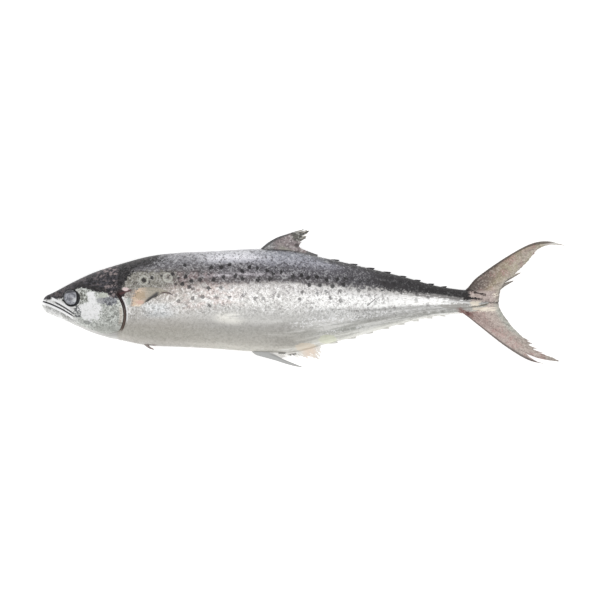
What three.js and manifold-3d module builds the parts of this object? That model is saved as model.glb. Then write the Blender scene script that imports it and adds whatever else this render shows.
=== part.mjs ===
// A whole raw spotted mackerel, lying on its right side on a table with its left flank up.
// Millimetres. +X runs from the snout to the tail, +Y from the belly to the back, +Z up from the table.
// Every place on the fish is given in its side view: x from the snout, y up from the long axis.

import * as THREE from "three";
import { mergeVertices } from "three/addons/utils/BufferGeometryUtils.js";
import Module from "manifold-3d";

const wasm = await Module();
wasm.setup();

// Driving dimensions of the trunk and head

// Landmarks from snout to tail. back and belly are the outline's heights, widest is the height at
// which the flank bulges most, half is half the thickness, and off is how far the lower flank is
// clear of the table, or below it where the fish's own weight presses it flat.
const LANDMARKS = [
  { at: "snout", x: 0, back: 4.5, belly: -17.5, widest: -6, half: 7.5, off: 5 },
  { at: "lip", x: 12, back: 9, belly: -21.8, widest: -6, half: 9.5, off: 4.6 },
  { at: "eye", x: 45, back: 26, belly: -35.7, widest: -6, half: 17.5, off: 3.6 },
  { at: "cheek", x: 75, back: 40.1, belly: -48.8, widest: -6, half: 24.5, off: 3.3 },
  { at: "gill", x: 122, back: 55.4, belly: -61.3, widest: -4, half: 33, off: 3.2 },
  { at: "shoulder", x: 165, back: 66.8, belly: -69.5, widest: 0, half: 37.5, off: 3.2 },
  { at: "fin tip", x: 205, back: 71.8, belly: -71.4, widest: 1.5, half: 40, off: 2.8 },
  { at: "belly", x: 250, back: 74, belly: -73.4, widest: 2, half: 41, off: -2 },
  { at: "deepest", x: 333, back: 77.9, belly: -79, widest: 1, half: 40, off: -4 },
  { at: "vent", x: 385, back: 75, belly: -79.2, widest: 0, half: 37, off: -4 },
  { at: "anal fin", x: 430, back: 64.3, belly: -68.4, widest: 0, half: 32, off: -3 },
  { at: "first finlets", x: 470, back: 55, belly: -58.6, widest: 0, half: 27, off: -1.5 },
  { at: "middle finlets", x: 516, back: 44.4, belly: -45.2, widest: 0, half: 21, off: -0.3 },
  { at: "last finlets", x: 562, back: 32.4, belly: -33.2, widest: 0, half: 15.5, off: 0.6 },
  { at: "stalk", x: 608, back: 20.4, belly: -24, widest: -1, half: 11, off: 1.5 },
  { at: "narrowest", x: 640, back: 15.8, belly: -20.4, widest: -1, half: 9.5, off: 2 },
  { at: "tail root", x: 662, back: 14.5, belly: -17.5, widest: 0, half: 7.5, off: 2.5 },
  { at: "flesh end", x: 684, back: 13, belly: -13, widest: 0, half: 5, off: 4 },
];
const NOSE_LENGTH = 9; // the blunt end of the jaws
const TAIL_ROOT = 662; // where the flesh starts to round off over the tail fin
const BODY_END = 684;
const ROUND_BACK = 2.15; // the flank's curve above its widest line; 2 is an ellipse
const ROUND_BELLY = 2.0;

// Driving dimensions of the head

const MOUTH = { corner: 53, start: -1.8, slope: -0.27, bend: -0.0042, groove: 1.1 };
const UPPER_JAW = { from: 19, to: 54, above: 8.4, narrowing: 0.115, groove: 0.8 };
const GILL_COVER = { x: 78, y: -23, radius: 47.5, top: 46, bottom: -33, swell: 2.2, groove: 1.6 };
const THROAT = { from: 118, to: 64, above: 4.5, lift: 6.5, groove: 1.2 }; // the gill cover's lower edge
const CHEEK_PLATE = { x: 60, y: -16, radius: 31, top: 40, bottom: -58, swell: 0.8, groove: 0.8 };
const EYE = { x: 45.5, y: 3.8, radius: 12, depth: 5, proud: 2.4, gap: 0.3 };
const NOSTRILS = [
  { x: 24.5, y: 7.2, radius: 1.0 },
  { x: 30.5, y: 9.6, radius: 1.3 },
];

// Driving dimensions of the seams and keels along the trunk

const BACK_GROOVE = { from: 133, to: 326, groove: 1.1 };
const BELLY_CUT = { from: 177, to: 366, groove: 1.1 };
const KEEL = { from: 600, to: 690, height: 2.4, breadth: 3.2 };

// Driving dimensions of the fins: outlines in the side view

const GAP = 0.35; // room between a fin and the flesh
const SECOND_DORSAL = {
  from: 333,
  to: 420,
  lead: [[345, 87.2], [358.8, 95.2], [372.5, 99.9], [386.3, 104.5], [398.5, 107.6]],
  margin: [[407.6, 103.8], [402, 94], [393, 84], [396, 79], [408, 73.8], [421, 69]],
  rays: 12,
  steps: 4,
};
const ANAL = {
  from: 318,
  to: 424,
  lead: [[326, -83.3], [340, -87.5], [356, -92], [372, -97.2], [388, -101.3], [404, -103.4]],
  margin: [
    [394, -100.4], [383, -96], [372, -91.6], [366, -88.4], [376, -87.5], [388, -88.5],
    [400, -91], [414, -95], [428, -97.5], [431, -86], [427, -74],
  ],
  rays: 14,
  steps: 4,
};
const PECTORAL = {
  root: [[130, 14], [131, 3], [133, -9.5]],
  lead: [[130, 14], [148, 17.5], [163, 19.5], [180, 18], [191, 14], [201.4, 7.3]],
  margin: [[201.4, 7.3], [187, 10.5], [174, 4.5], [162, -2.6], [150, -10]],
  last: [[133, -9.5], [150, -10]],
  rays: 7,
  steps: 5,
};
const PELVIC = {
  from: 153,
  to: 162,
  lead: [[163, -73], [172, -76.2]],
  margin: [[170, -73.8], [165, -71.5]],
  rays: 3,
  steps: 2,
  apart: 5, // each pelvic fin's distance from the fish's middle sheet
};
const TAIL = {
  root: [[640, 11], [650, 6], [650, -7], [634, -14]],
  lead: [[640, 11], [650, 18.5], [665, 35], [706.9, 64.3], [745.8, 85.5], [773.8, 89.6], [800, 83]],
  margin: [
    [800, 83], [778, 83.8], [761, 79], [748.6, 67.5], [739, 56], [727.7, 45.5], [707, 29],
    [699.8, 18], [697.5, 0], [699, -12.3], [707, -26.3], [718, -40.2], [730.5, -52.7], [746, -64],
    [768, -79], [793, -90.4], [771, -98],
  ],
  last: [[634, -14], [650, -25.5], [667, -39], [706, -69.5], [742, -91.4], [771, -98]],
  rays: 22,
  steps: 7,
  z: 11, // the height of the fin's root above the table
  droop: 8,
  wave: 1.1,
};
const FINLETS = {
  count: 8,
  backFrom: 436,
  bellyFrom: 434,
  spacing: 28.5,
  shrink: 1.4, // each space is this much shorter than the one before it
  share: 0.66, // a finlet's length as a share of its space
  heel: 0.84, // where its root ends, as a share of its length
  height: 2.7,
};
const BEND_SPREAD = 0.6; // below 1, the rays lose the lead's bend sooner
const FIN_THICK = { root: 1.9, edge: 0.9, ridge: 0.16 };
const TAIL_THICK = { root: 3.2, edge: 1.1, ridge: 0.3 };

// The smooth value of one landmark column at any x: a cubic through the landmarks
function along(column, x) {
  const last = LANDMARKS.length - 1;
  const after = LANDMARKS.findIndex((mark) => mark.x > x);
  const i = after < 0 ? last - 1 : Math.max(0, after - 1);
  const chord = (k) => {
    const [low, high] = [LANDMARKS[k], LANDMARKS[k + 1]];
    return (high[column] - low[column]) / (high.x - low.x);
  };
  const slope = (k) => {
    if (k === 0) return chord(0);
    if (k === last) return chord(last - 1);
    const left = LANDMARKS[k].x - LANDMARKS[k - 1].x;
    const right = LANDMARKS[k + 1].x - LANDMARKS[k].x;
    return (chord(k - 1) * right + chord(k) * left) / (left + right);
  };
  const [low, high] = [LANDMARKS[i], LANDMARKS[i + 1]];
  const span = high.x - low.x;
  const t = THREE.MathUtils.clamp((x - low.x) / span, 0, 1);
  const rise = t * t * (3 - 2 * t);
  const start = t * (1 - t) * (1 - t) * span;
  const end = t * t * (1 - t) * span;
  return low[column] * (1 - rise) + high[column] * rise + slope(i) * start - slope(i + 1) * end;
}

// How much of its full section the body has reached at x: less than 1 on the rounded ends
function fullness(x) {
  const nose = Math.max(0, 1 - x / NOSE_LENGTH);
  const tail = Math.max(0, (x - TAIL_ROOT) / (BODY_END - TAIL_ROOT));
  return Math.sqrt(Math.max(0, 1 - nose * nose)) * Math.sqrt(Math.max(0, 1 - tail * tail));
}

const widest = (x) => along("widest", x);
const back = (x) => widest(x) + (along("back", x) - widest(x)) * fullness(x);
const belly = (x) => widest(x) + (along("belly", x) - widest(x)) * fullness(x);
const middle = (x) => along("half", x) + along("off", x);
const mouthLine = (x) => MOUTH.start + MOUTH.slope * x + MOUTH.bend * x * x;

// The lower edge of the gill cover: it follows the belly's outline and lifts to meet the round rim
function throatLine(x) {
  const lift = THROAT.lift * THREE.MathUtils.smoothstep(x, 98, THROAT.from);
  return belly(x) + THROAT.above + lift;
}

// A bony plate's swell: it rises from its middle to its round rear rim and stops there
function plate(rim, x, y) {
  const inside = Math.hypot(x - rim.x, y - rim.y) < rim.radius && y > throatLine(x);
  return inside ? rim.swell * THREE.MathUtils.smoothstep(x, rim.x, rim.x + 0.9 * rim.radius) : 0;
}

// The tail stalk's side keel
function keel(x, y) {
  const window = THREE.MathUtils.smoothstep(x, KEEL.from, (KEEL.from + KEEL.to) / 2);
  return KEEL.height * window * Math.exp(-((y / KEEL.breadth) ** 2)) * fullness(x);
}

// The skin's distance from the fish's middle sheet at a place in the side view
function flank(x, y) {
  const above = y > widest(x);
  const reach = above ? back(x) - widest(x) : widest(x) - belly(x);
  const share = Math.min(1, Math.abs(y - widest(x)) / Math.max(reach, 1e-6));
  const power = above ? ROUND_BACK : ROUND_BELLY;
  const smooth = along("half", x) * fullness(x) * (1 - share ** power) ** (1 / power);
  const relief = plate(GILL_COVER, x, y) + plate(CHEEK_PLATE, x, y) + keel(x, y);
  return smooth + relief * (1 - share ** 6);
}

// A point of the skin, on the upper flank for side 1 and on the lower one for side -1
function skin(x, y, side) {
  return new THREE.Vector3(x, y, Math.max(0, middle(x) + side * flank(x, y)));
}

// Solids in and out of the boolean library

function solidOf(geometry) {
  const bare = geometry.clone();
  bare.deleteAttribute("normal");
  bare.deleteAttribute("uv");
  const merged = mergeVertices(bare, 1e-4);
  return new wasm.Manifold(
    new wasm.Mesh({
      numProp: 3,
      vertProperties: new Float32Array(merged.attributes.position.array),
      triVerts: new Uint32Array(merged.index.array),
    }),
  );
}

function geometryOf(solid) {
  const { vertProperties, triVerts } = solid.getMesh();
  const geometry = new THREE.BufferGeometry();
  geometry.setAttribute("position", new THREE.BufferAttribute(vertProperties, 3));
  geometry.setIndex(new THREE.BufferAttribute(triVerts, 1));
  geometry.computeVertexNormals();
  return geometry;
}

function geometryFrom(points, faces) {
  const geometry = new THREE.BufferGeometry();
  geometry.setAttribute("position", new THREE.Float32BufferAttribute(points.flatMap((p) => p.toArray()), 3));
  geometry.setIndex(faces.flat());
  geometry.computeVertexNormals();
  return geometry;
}

// The trunk and head: rings round the body, closed by a point at each end

function bodyRing(x, quarter) {
  const ring = [];
  for (let k = 0; k < 4 * quarter; k += 1) {
    const turn = (k / (4 * quarter)) * 2 * Math.PI;
    const reach = Math.cos(turn) > 0 ? back(x) - widest(x) : widest(x) - belly(x);
    const y = widest(x) + reach * Math.cos(turn);
    const side = Math.sin(turn) > 0 ? 1 : -1;
    const onEdge = k % (2 * quarter) === 0;
    ring.push(onEdge ? new THREE.Vector3(x, y, middle(x)) : skin(x, y, side));
  }
  return ring;
}

function bodyStations() {
  const between = (from, to, count) =>
    Array.from({ length: count }, (_, k) => from + ((to - from) * k) / count);
  const nose = between(0, 1, 5).slice(1).map((s) => NOSE_LENGTH * (1 - Math.cos((s * Math.PI) / 2)));
  const end = between(0, 1, 6).map((s) => TAIL_ROOT + (BODY_END - TAIL_ROOT) * Math.sin((s * Math.PI) / 2));
  return [...nose, ...between(NOSE_LENGTH, 130, 26), ...between(130, TAIL_ROOT, 32), ...end];
}

function bodyHull() {
  const quarter = 7;
  const around = 4 * quarter;
  const stations = bodyStations();
  const points = stations.flatMap((x) => bodyRing(x, quarter));
  const tip = points.push(new THREE.Vector3(0, widest(0), middle(0))) - 1;
  const end = points.push(new THREE.Vector3(BODY_END, widest(BODY_END), middle(BODY_END))) - 1;
  const faces = [];
  for (let k = 0; k < around; k += 1) {
    const next = (k + 1) % around;
    const lastRing = (stations.length - 1) * around;
    faces.push([tip, next, k], [end, lastRing + k, lastRing + next]);
    for (let i = 0; i < stations.length - 1; i += 1) {
      const [a, b] = [i * around + k, i * around + next];
      const [c, d] = [a + around, b + around];
      faces.push([a, b, d], [a, d, c]);
    }
  }
  return solidOf(geometryFrom(points, faces));
}

// A groove's cutter: a thin hexagonal rod that follows points of the skin
function rod(points, radius) {
  const section = new THREE.Shape();
  for (let k = 0; k < 6; k += 1) {
    const turn = (k * Math.PI) / 3;
    const move = k ? "lineTo" : "moveTo";
    section[move](radius * Math.cos(turn), radius * Math.sin(turn));
  }
  const path = new THREE.CatmullRomCurve3(points);
  return solidOf(
    new THREE.ExtrudeGeometry(section, { steps: 2 * points.length, extrudePath: path, bevelEnabled: false }),
  );
}

const shares = (count) => Array.from({ length: count + 1 }, (_, k) => k / count);

function mouthCutter() {
  const sideLine = (side) =>
    [1, 0.8, 0.6, 0.42, 0.26, 0.13, 0.05].map((s) =>
      skin(s * MOUTH.corner, mouthLine(s * MOUTH.corner), side),
    );
  const front = new THREE.Vector3(0, mouthLine(0), middle(0));
  return rod([...sideLine(1), front, ...sideLine(-1).reverse()], MOUTH.groove);
}

function upperJawCutter(side) {
  const line = shares(5).map((s) => {
    const x = THREE.MathUtils.lerp(UPPER_JAW.from, UPPER_JAW.to, s);
    return skin(x, mouthLine(x) + UPPER_JAW.above - UPPER_JAW.narrowing * (x - UPPER_JAW.from), side);
  });
  return rod(line, UPPER_JAW.groove);
}

function throatCutter(side) {
  const line = shares(5).map((s) => {
    const x = THREE.MathUtils.lerp(THROAT.from, THROAT.to, s);
    return skin(x, throatLine(x), side);
  });
  return rod(line, THROAT.groove);
}

function rimCutter(rim, side) {
  const line = shares(9).map((s) => {
    const turn = THREE.MathUtils.degToRad(THREE.MathUtils.lerp(rim.top, rim.bottom, s));
    return skin(rim.x + rim.radius * Math.cos(turn), rim.y + rim.radius * Math.sin(turn), side);
  });
  return rod(line, rim.groove);
}

function seamCutter(seam, edge) {
  const line = shares(12).map((s) => {
    const x = THREE.MathUtils.lerp(seam.from, seam.to, s);
    return new THREE.Vector3(x, edge(x), middle(x));
  });
  return rod(line, seam.groove);
}

function nostrilCutter({ x, y, radius }, side) {
  const ball = new THREE.SphereGeometry(radius, 8, 6);
  return solidOf(ball.translate(...skin(x, y, side).toArray()));
}

// An eyeball is a flattened ball that stands a little proud of the head
function eyeball(side, gap) {
  const surface = middle(EYE.x) + side * flank(EYE.x, EYE.y);
  const centre = surface + side * (EYE.proud - EYE.depth);
  const ball = new THREE.SphereGeometry(1, 16, 10);
  ball.rotateX(Math.PI / 2);
  ball.scale(EYE.radius + gap, EYE.radius + gap, EYE.depth + gap);
  return solidOf(ball.translate(EYE.x, EYE.y, centre));
}

// Fins

// A fin that stands on the back or the belly line: its root runs along that edge, just clear of it
function standing(fin, edge, way) {
  const root = shares(4).map((s) => {
    const x = THREE.MathUtils.lerp(fin.from, fin.to, s);
    return [x, edge(x) + way * GAP];
  });
  const lead = [root[0], ...fin.lead];
  const margin = [fin.lead.at(-1), ...fin.margin];
  return { ...fin, root, lead, margin, last: [root.at(-1), fin.margin.at(-1)] };
}

const outline = (points) => new THREE.SplineCurve(points.map(([x, y]) => new THREE.Vector2(x, y)));

// How a ray bends: at share s of its length, how far it has come along its chord and how far
// it stands to the left of it, both as shares of the chord
function rayBend(ray) {
  const start = ray.getPoint(0);
  const chord = ray.getPoint(1).sub(start);
  return (s) => {
    const spot = ray.getPointAt(s).sub(start);
    return new THREE.Vector2(spot.dot(chord), chord.cross(spot)).divideScalar(chord.lengthSq());
  };
}

// A fin's place at share t across its rays and share s out from its root. Each ray runs from the
// root to the margin and takes its bend from the first ray, lead, and from the last one. The bend
// changes fastest beside the lead, so that no ray crosses it.
function finPlace(fin) {
  const [root, margin] = [outline(fin.root), outline(fin.margin)];
  const [leadBend, lastBend] = [rayBend(outline(fin.lead)), rayBend(outline(fin.last))];
  return (t, s) => {
    const start = root.getPointAt(t);
    const chord = margin.getPointAt(t).sub(start);
    const bend = leadBend(s).lerp(lastBend(s), t ** BEND_SPREAD);
    start.x += chord.x * bend.x - chord.y * bend.y;
    start.y += chord.y * bend.x + chord.x * bend.y;
    return start;
  };
}

// A fin is a thin sheet with a ridge along each ray. height gives the sheet's z at a place.
function finSolid(fin, thick, height) {
  const [columns, rows] = [2 * fin.rays, fin.steps];
  const place = finPlace(fin);
  const across = place(0.6, 0.5).sub(place(0.4, 0.5));
  const outward = place(0.5, 0.6).sub(place(0.5, 0.4));
  const sides = across.cross(outward) > 0 ? [1, -1] : [-1, 1];
  const points = [];
  for (const side of sides) {
    for (let i = 0; i <= columns; i += 1) {
      for (let j = 0; j <= rows; j += 1) {
        const [t, s] = [i / columns, j / rows];
        const spot = place(t, s);
        const ridge = thick.ridge * (i % 2 ? -1 : 1);
        const half = THREE.MathUtils.lerp(thick.root, thick.edge, s) / 2 + ridge;
        points.push(new THREE.Vector3(spot.x, spot.y, height(spot.x, spot.y) + side * half));
      }
    }
  }
  return solidOf(geometryFrom(points, sheetFaces(columns, rows)));
}

// Faces of two like grids, one above the other, and of the wall round them
function sheetFaces(columns, rows) {
  const at = (i, j, under) => under * (columns + 1) * (rows + 1) + i * (rows + 1) + j;
  const faces = [];
  const quad = (a, b, c, d) => faces.push([a, b, c], [a, c, d]);
  for (let i = 0; i < columns; i += 1) {
    for (let j = 0; j < rows; j += 1) {
      quad(at(i, j, 0), at(i + 1, j, 0), at(i + 1, j + 1, 0), at(i, j + 1, 0));
      quad(at(i, j, 1), at(i, j + 1, 1), at(i + 1, j + 1, 1), at(i + 1, j, 1));
    }
    quad(at(i, 0, 1), at(i + 1, 0, 1), at(i + 1, 0, 0), at(i, 0, 0));
    quad(at(i, rows, 0), at(i + 1, rows, 0), at(i + 1, rows, 1), at(i, rows, 1));
  }
  for (let j = 0; j < rows; j += 1) {
    quad(at(0, j, 0), at(0, j + 1, 0), at(0, j + 1, 1), at(0, j, 1));
    quad(at(columns, j, 1), at(columns, j + 1, 1), at(columns, j + 1, 0), at(columns, j, 0));
  }
  return faces;
}

// The heights of the fins' middle sheets

const onMiddle = (x) => middle(Math.min(x, BODY_END));
const tailHeight = (x, y) => {
  const out = THREE.MathUtils.clamp((x - 650) / 150, 0, 1);
  return TAIL.z - TAIL.droop * out ** 1.2 + TAIL.wave * Math.sin(y / 22) * out;
};
const pectoralHeight = (side) => (x, y) => {
  const clear = flank(x, y) + FIN_THICK.root / 2 + FIN_THICK.ridge + GAP;
  return middle(x) + side * clear;
};
const pelvicHeight = (side) => (x) => middle(x) + side * PELVIC.apart;

// One finlet: a low swept sail that rises slowly from its front and drops at its rear
function finlet(start, length, edge, way) {
  const tall = (share, height) => {
    const x = start + share * length;
    return [x, edge(x) + way * height];
  };
  const shape = {
    from: start,
    to: start + FINLETS.heel * length,
    lead: [tall(0.45, 0.5 * FINLETS.height), tall(0.8, 0.85 * FINLETS.height), tall(1, FINLETS.height)],
    margin: [tall(0.95, 0.55 * FINLETS.height), tall(0.89, 0.3 * FINLETS.height)],
    rays: 1,
    steps: 2,
  };
  return standing(shape, edge, way);
}

function finletRow(edge, from, way) {
  const spacing = (k) => FINLETS.spacing - FINLETS.shrink * k;
  const startOf = (k) => from + k * FINLETS.spacing - (FINLETS.shrink * k * (k - 1)) / 2;
  return Array.from({ length: FINLETS.count }, (_, k) =>
    finlet(startOf(k), spacing(k) * FINLETS.share, edge, way),
  );
}

// Materials

const finish = (color, roughness) => new THREE.MeshStandardMaterial({ color, roughness, metalness: 0 });
const SKIN = finish("#b9babc", 0.35);
const FIN = finish("#a1948d", 0.55);
const PALE_FIN = finish("#d9cdbf", 0.55);
const EYE_LENS = finish("#5c5f64", 0.15);

// Assembly

const dorsal = standing(SECOND_DORSAL, back, 1);
const anal = standing(ANAL, belly, -1);
const pelvic = standing(PELVIC, belly, -1);
const fins = [
  { name: "second_dorsal_fin", shape: dorsal, height: onMiddle, material: FIN },
  { name: "anal_fin", shape: anal, height: onMiddle, material: PALE_FIN },
  { name: "pectoral_fin_left", shape: PECTORAL, height: pectoralHeight(1), material: FIN },
  { name: "pectoral_fin_right", shape: PECTORAL, height: pectoralHeight(-1), material: FIN },
  { name: "pelvic_fin_left", shape: pelvic, height: pelvicHeight(1), material: PALE_FIN },
  { name: "pelvic_fin_right", shape: pelvic, height: pelvicHeight(-1), material: PALE_FIN },
];
finletRow(back, FINLETS.backFrom, 1).forEach((shape, k) => {
  fins.push({ name: `dorsal_finlet_${k + 1}`, shape, height: onMiddle, material: FIN });
});
finletRow(belly, FINLETS.bellyFrom, -1).forEach((shape, k) => {
  fins.push({ name: `anal_finlet_${k + 1}`, shape, height: onMiddle, material: PALE_FIN });
});

const bothSides = [1, -1];
const cutters = [
  mouthCutter(),
  seamCutter(BACK_GROOVE, back),
  seamCutter(BELLY_CUT, belly),
  ...bothSides.flatMap((side) => [
    upperJawCutter(side),
    rimCutter(GILL_COVER, side),
    throatCutter(side),
    rimCutter(CHEEK_PLATE, side),
    eyeball(side, EYE.gap),
    ...NOSTRILS.map((nostril) => nostrilCutter(nostril, side)),
  ]),
];
const hull = bodyHull();
const body = cutters.reduce((solid, cutter) => solid.subtract(cutter), hull);

// The tail fin starts where the flesh ends: a slightly larger copy of the flesh is cut from it
const stalk = [640, -1, middle(640)];
const clearance = hull
  .translate(stalk.map((v) => -v))
  .scale([1.02, 1.04, 1.06])
  .translate(stalk);

const fish = new THREE.Group();
function addPart(name, solid, material) {
  const mesh = new THREE.Mesh(geometryOf(solid), material);
  mesh.name = name;
  fish.add(mesh);
}
addPart("body", body, SKIN);
addPart("eye_left", eyeball(1, 0), EYE_LENS);
addPart("eye_right", eyeball(-1, 0), EYE_LENS);
addPart("tail_fin", finSolid(TAIL, TAIL_THICK, tailHeight).subtract(clearance), FIN);
for (const fin of fins) addPart(fin.name, finSolid(fin.shape, FIN_THICK, fin.height), fin.material);

// The origin is under the middle of the fish, on the table
const box = new THREE.Box3().setFromObject(fish);
const centre = box.getCenter(new THREE.Vector3());
fish.position.set(-centre.x, -centre.y, -box.min.z);

const part = new THREE.Group();
part.add(fish);

export default part;
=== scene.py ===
# %% [markdown]
# # A whole raw spotted mackerel
#
# The fish lies on its right side, so its left flank faces up. Its solids were made in another
# program and come in here as a fixed frame. This lesson dresses them: a smooth wet skin with
# spots, two eyes, fins with rays and frayed edges, and the small finlets before the tail.
# Every shape is a formula on a grid, and every colour is worked out by the materials.

import bpy
import numpy as np
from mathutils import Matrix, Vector


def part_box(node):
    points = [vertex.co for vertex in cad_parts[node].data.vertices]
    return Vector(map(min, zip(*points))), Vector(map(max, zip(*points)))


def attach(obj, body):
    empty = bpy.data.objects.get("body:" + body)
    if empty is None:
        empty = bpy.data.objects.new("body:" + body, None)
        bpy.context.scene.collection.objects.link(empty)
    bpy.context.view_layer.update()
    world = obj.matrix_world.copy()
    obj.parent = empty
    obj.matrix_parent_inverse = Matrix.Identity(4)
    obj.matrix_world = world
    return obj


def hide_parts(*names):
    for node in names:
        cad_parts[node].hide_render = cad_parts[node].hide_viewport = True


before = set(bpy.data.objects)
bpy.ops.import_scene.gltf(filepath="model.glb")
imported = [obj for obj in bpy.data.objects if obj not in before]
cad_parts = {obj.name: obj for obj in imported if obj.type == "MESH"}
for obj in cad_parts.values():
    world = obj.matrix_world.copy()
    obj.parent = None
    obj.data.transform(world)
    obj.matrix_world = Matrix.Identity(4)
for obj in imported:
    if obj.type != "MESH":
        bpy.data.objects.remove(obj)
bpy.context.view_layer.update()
print("nodes in the frame:", len(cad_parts))

# %% [markdown]
# ## Where things are on a fish
#
# It is easiest to speak of a fish in its side view: x from the snout to the tail, y up from the
# long axis to the back, and z up from the table through the flank, all in millimetres. The table
# of landmarks gives the outline and the thickness at a few places, and a smooth curve through
# them gives every place between. One shift then takes the fish's own numbers to the frame's.

# %% Landmarks of the trunk and head
LANDMARK_X = np.array(
    [0, 12, 45, 75, 122, 165, 205, 250, 333, 385, 430, 470, 516, 562, 608, 640, 662, 684.0]
)
BACK = [4.5, 9, 26, 40.1, 55.4, 66.8, 71.8, 74, 77.9, 75, 64.3, 55, 44.4, 32.4, 20.4, 15.8, 14.5, 13]
BELLY = [-17.5, -21.8, -35.7, -48.8, -61.3, -69.5, -71.4, -73.4, -79, -79.2, -68.4, -58.6, -45.2, -33.2,
         -24, -20.4, -17.5, -13]
WIDEST = [-6, -6, -6, -6, -4, 0, 1.5, 2, 1, 0, 0, 0, 0, 0, -1, -1, 0, 0]
HALF = [7.5, 9.5, 17.5, 24.5, 33, 37.5, 40, 41, 40, 37, 32, 27, 21, 15.5, 11, 9.5, 7.5, 5]
CLEAR = [5, 4.6, 3.6, 3.3, 3.2, 3.2, 2.8, -2, -4, -4, -3, -1.5, -0.3, 0.6, 1.5, 2, 2.5, 4]
NOSE, TAIL_ROOT, FLESH_END = 9.0, 662.0, 684.0


def smooth_curve(x, marks, heights):
    """A cubic through the marks. Each mark's slope is the mean of its two chords' slopes, the
    nearer chord weighing more, and between marks the cubic meets both heights and both slopes."""
    heights = np.asarray(heights, float)
    gaps = np.diff(marks)
    chords = np.diff(heights) / gaps
    inner = (chords[:-1] * gaps[1:] + chords[1:] * gaps[:-1]) / (gaps[1:] + gaps[:-1])
    slopes = np.concatenate([chords[:1], inner, chords[-1:]])
    i = np.clip(np.searchsorted(marks, x, side="right") - 1, 0, len(marks) - 2)
    t = np.clip((x - marks[i]) / gaps[i], 0, 1)
    rise = t * t * (3 - 2 * t)
    start, end = t * (1 - t) ** 2 * gaps[i], t * t * (1 - t) * gaps[i]
    return heights[i] * (1 - rise) + heights[i + 1] * rise + slopes[i] * start - slopes[i + 1] * end


def fullness(x):
    """How much of its full section the body has at x: a quarter circle at each blunt end."""
    nose = np.clip(1 - x / NOSE, 0, 1)
    tail = np.clip((x - TAIL_ROOT) / (FLESH_END - TAIL_ROOT), 0, 1)
    return np.sqrt(1 - nose**2) * np.sqrt(1 - tail**2)


def widest(x):
    """The height of the body's widest line, between the back and the belly."""
    return smooth_curve(x, LANDMARK_X, WIDEST)


def back(x):
    """The back's height: the widest line plus its landmark rise, times the fullness."""
    return widest(x) + (smooth_curve(x, LANDMARK_X, BACK) - widest(x)) * fullness(x)


def belly(x):
    """The belly's height: the widest line less its landmark drop, times the fullness."""
    return widest(x) + (smooth_curve(x, LANDMARK_X, BELLY) - widest(x)) * fullness(x)


def middle(x):
    """The height of the sheet midway between the two flanks."""
    return smooth_curve(x, LANDMARK_X, HALF) + smooth_curve(x, LANDMARK_X, CLEAR)


low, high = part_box("body")
SHIFT = np.array([low.x, high.y - back(np.linspace(300, 360, 200)).max() / 1000, low.z])
print("the snout is at", [round(v * 1000, 1) for v in SHIFT], "mm in the frame")


def to_frame(points):
    """Places in the fish's millimetres as places in the frame, in metres."""
    return np.asarray(points, float) / 1000 + SHIFT


# %% [markdown]
# ## Small helpers for shapes
#
# Soft steps and soft ridges shape all the fine relief, so they are written once. A curve through
# a few points, walked at an even pace, gives the fins their edges.

# %% Steps, ridges and curves
def step(v, low, high):
    """A smooth rise from 0 at low to 1 at high."""
    t = np.clip((v - low) / (high - low), 0, 1)
    return t * t * (3 - 2 * t)


def ridge(v, width):
    """A soft ridge: 1 where v is 0, falling off like a bell within the width."""
    return np.exp(-((v / width) ** 2))


def curve_through(points, samples=400):
    """A function from a share of the length, 0 to 1, to a place on the Catmull-Rom curve through
    the points. A share below 0 or above 1 stays at the curve's end."""
    p = np.asarray(points, float)
    p = np.vstack([p[0], p, p[-1]])
    t = np.linspace(0, len(points) - 1, samples)
    i = np.minimum(t.astype(int), len(points) - 2)
    f = (t - i)[:, None]
    a, b, c, d = p[i], p[i + 1], p[i + 2], p[i + 3]
    bend, twist = 2 * a - 5 * b + 4 * c - d, 3 * b - a - 3 * c + d
    dense = 0.5 * (2 * b + (c - a) * f + bend * f**2 + twist * f**3)
    run = np.concatenate([[0], np.cumsum(np.linalg.norm(np.diff(dense, axis=0), axis=1))])
    run /= run[-1]
    return lambda share: np.stack([np.interp(share, run, line) for line in dense.T], -1)


# %% [markdown]
# ## From a grid to a mesh
#
# Each surface is an array of points, rows by columns. The first and last row may shrink to a
# point, and the columns may close on themselves, as round a body. Numbers that a material needs,
# such as how far up the flank a place is, ride along on the vertices as attributes.

# %% Mesh makers
def finish_piece(name, points, faces, facts, node_names):
    """Puts points and faces into a mesh with smooth shading, and ties the piece to the frame."""
    mesh = bpy.data.meshes.new(name)
    mesh.from_pydata(to_frame(points).tolist(), [], faces)
    mesh.polygons.foreach_set("use_smooth", np.ones(len(mesh.polygons), bool))
    for fact, values in facts.items():
        layer = mesh.attributes.new(fact, "FLOAT", "POINT")
        layer.data.foreach_set("value", np.asarray(values, np.float32))
    mesh.validate()
    piece = bpy.data.objects.new(name, mesh)
    bpy.context.collection.objects.link(piece)
    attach(piece, "root")
    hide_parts(*node_names)
    print(name, len(mesh.vertices), "points,", len(mesh.polygons), "faces")
    return piece


def ring_faces(rows, columns):
    """Quads between the rings of a closed tube, and triangles to a pole at each end."""
    i, k = np.meshgrid(np.arange(rows - 1), np.arange(columns), indexing="ij")
    a, b = i * columns + k, i * columns + (k + 1) % columns
    quads = np.stack([a, b, b + columns, a + columns], -1).reshape(-1, 4).tolist()
    k = np.arange(columns)
    first, last = rows * columns, rows * columns + 1
    start = np.stack([np.full(columns, first), (k + 1) % columns, k], -1).tolist()
    base = (rows - 1) * columns
    end = np.stack([np.full(columns, last), base + k, base + (k + 1) % columns], -1).tolist()
    return quads + start + end


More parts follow.
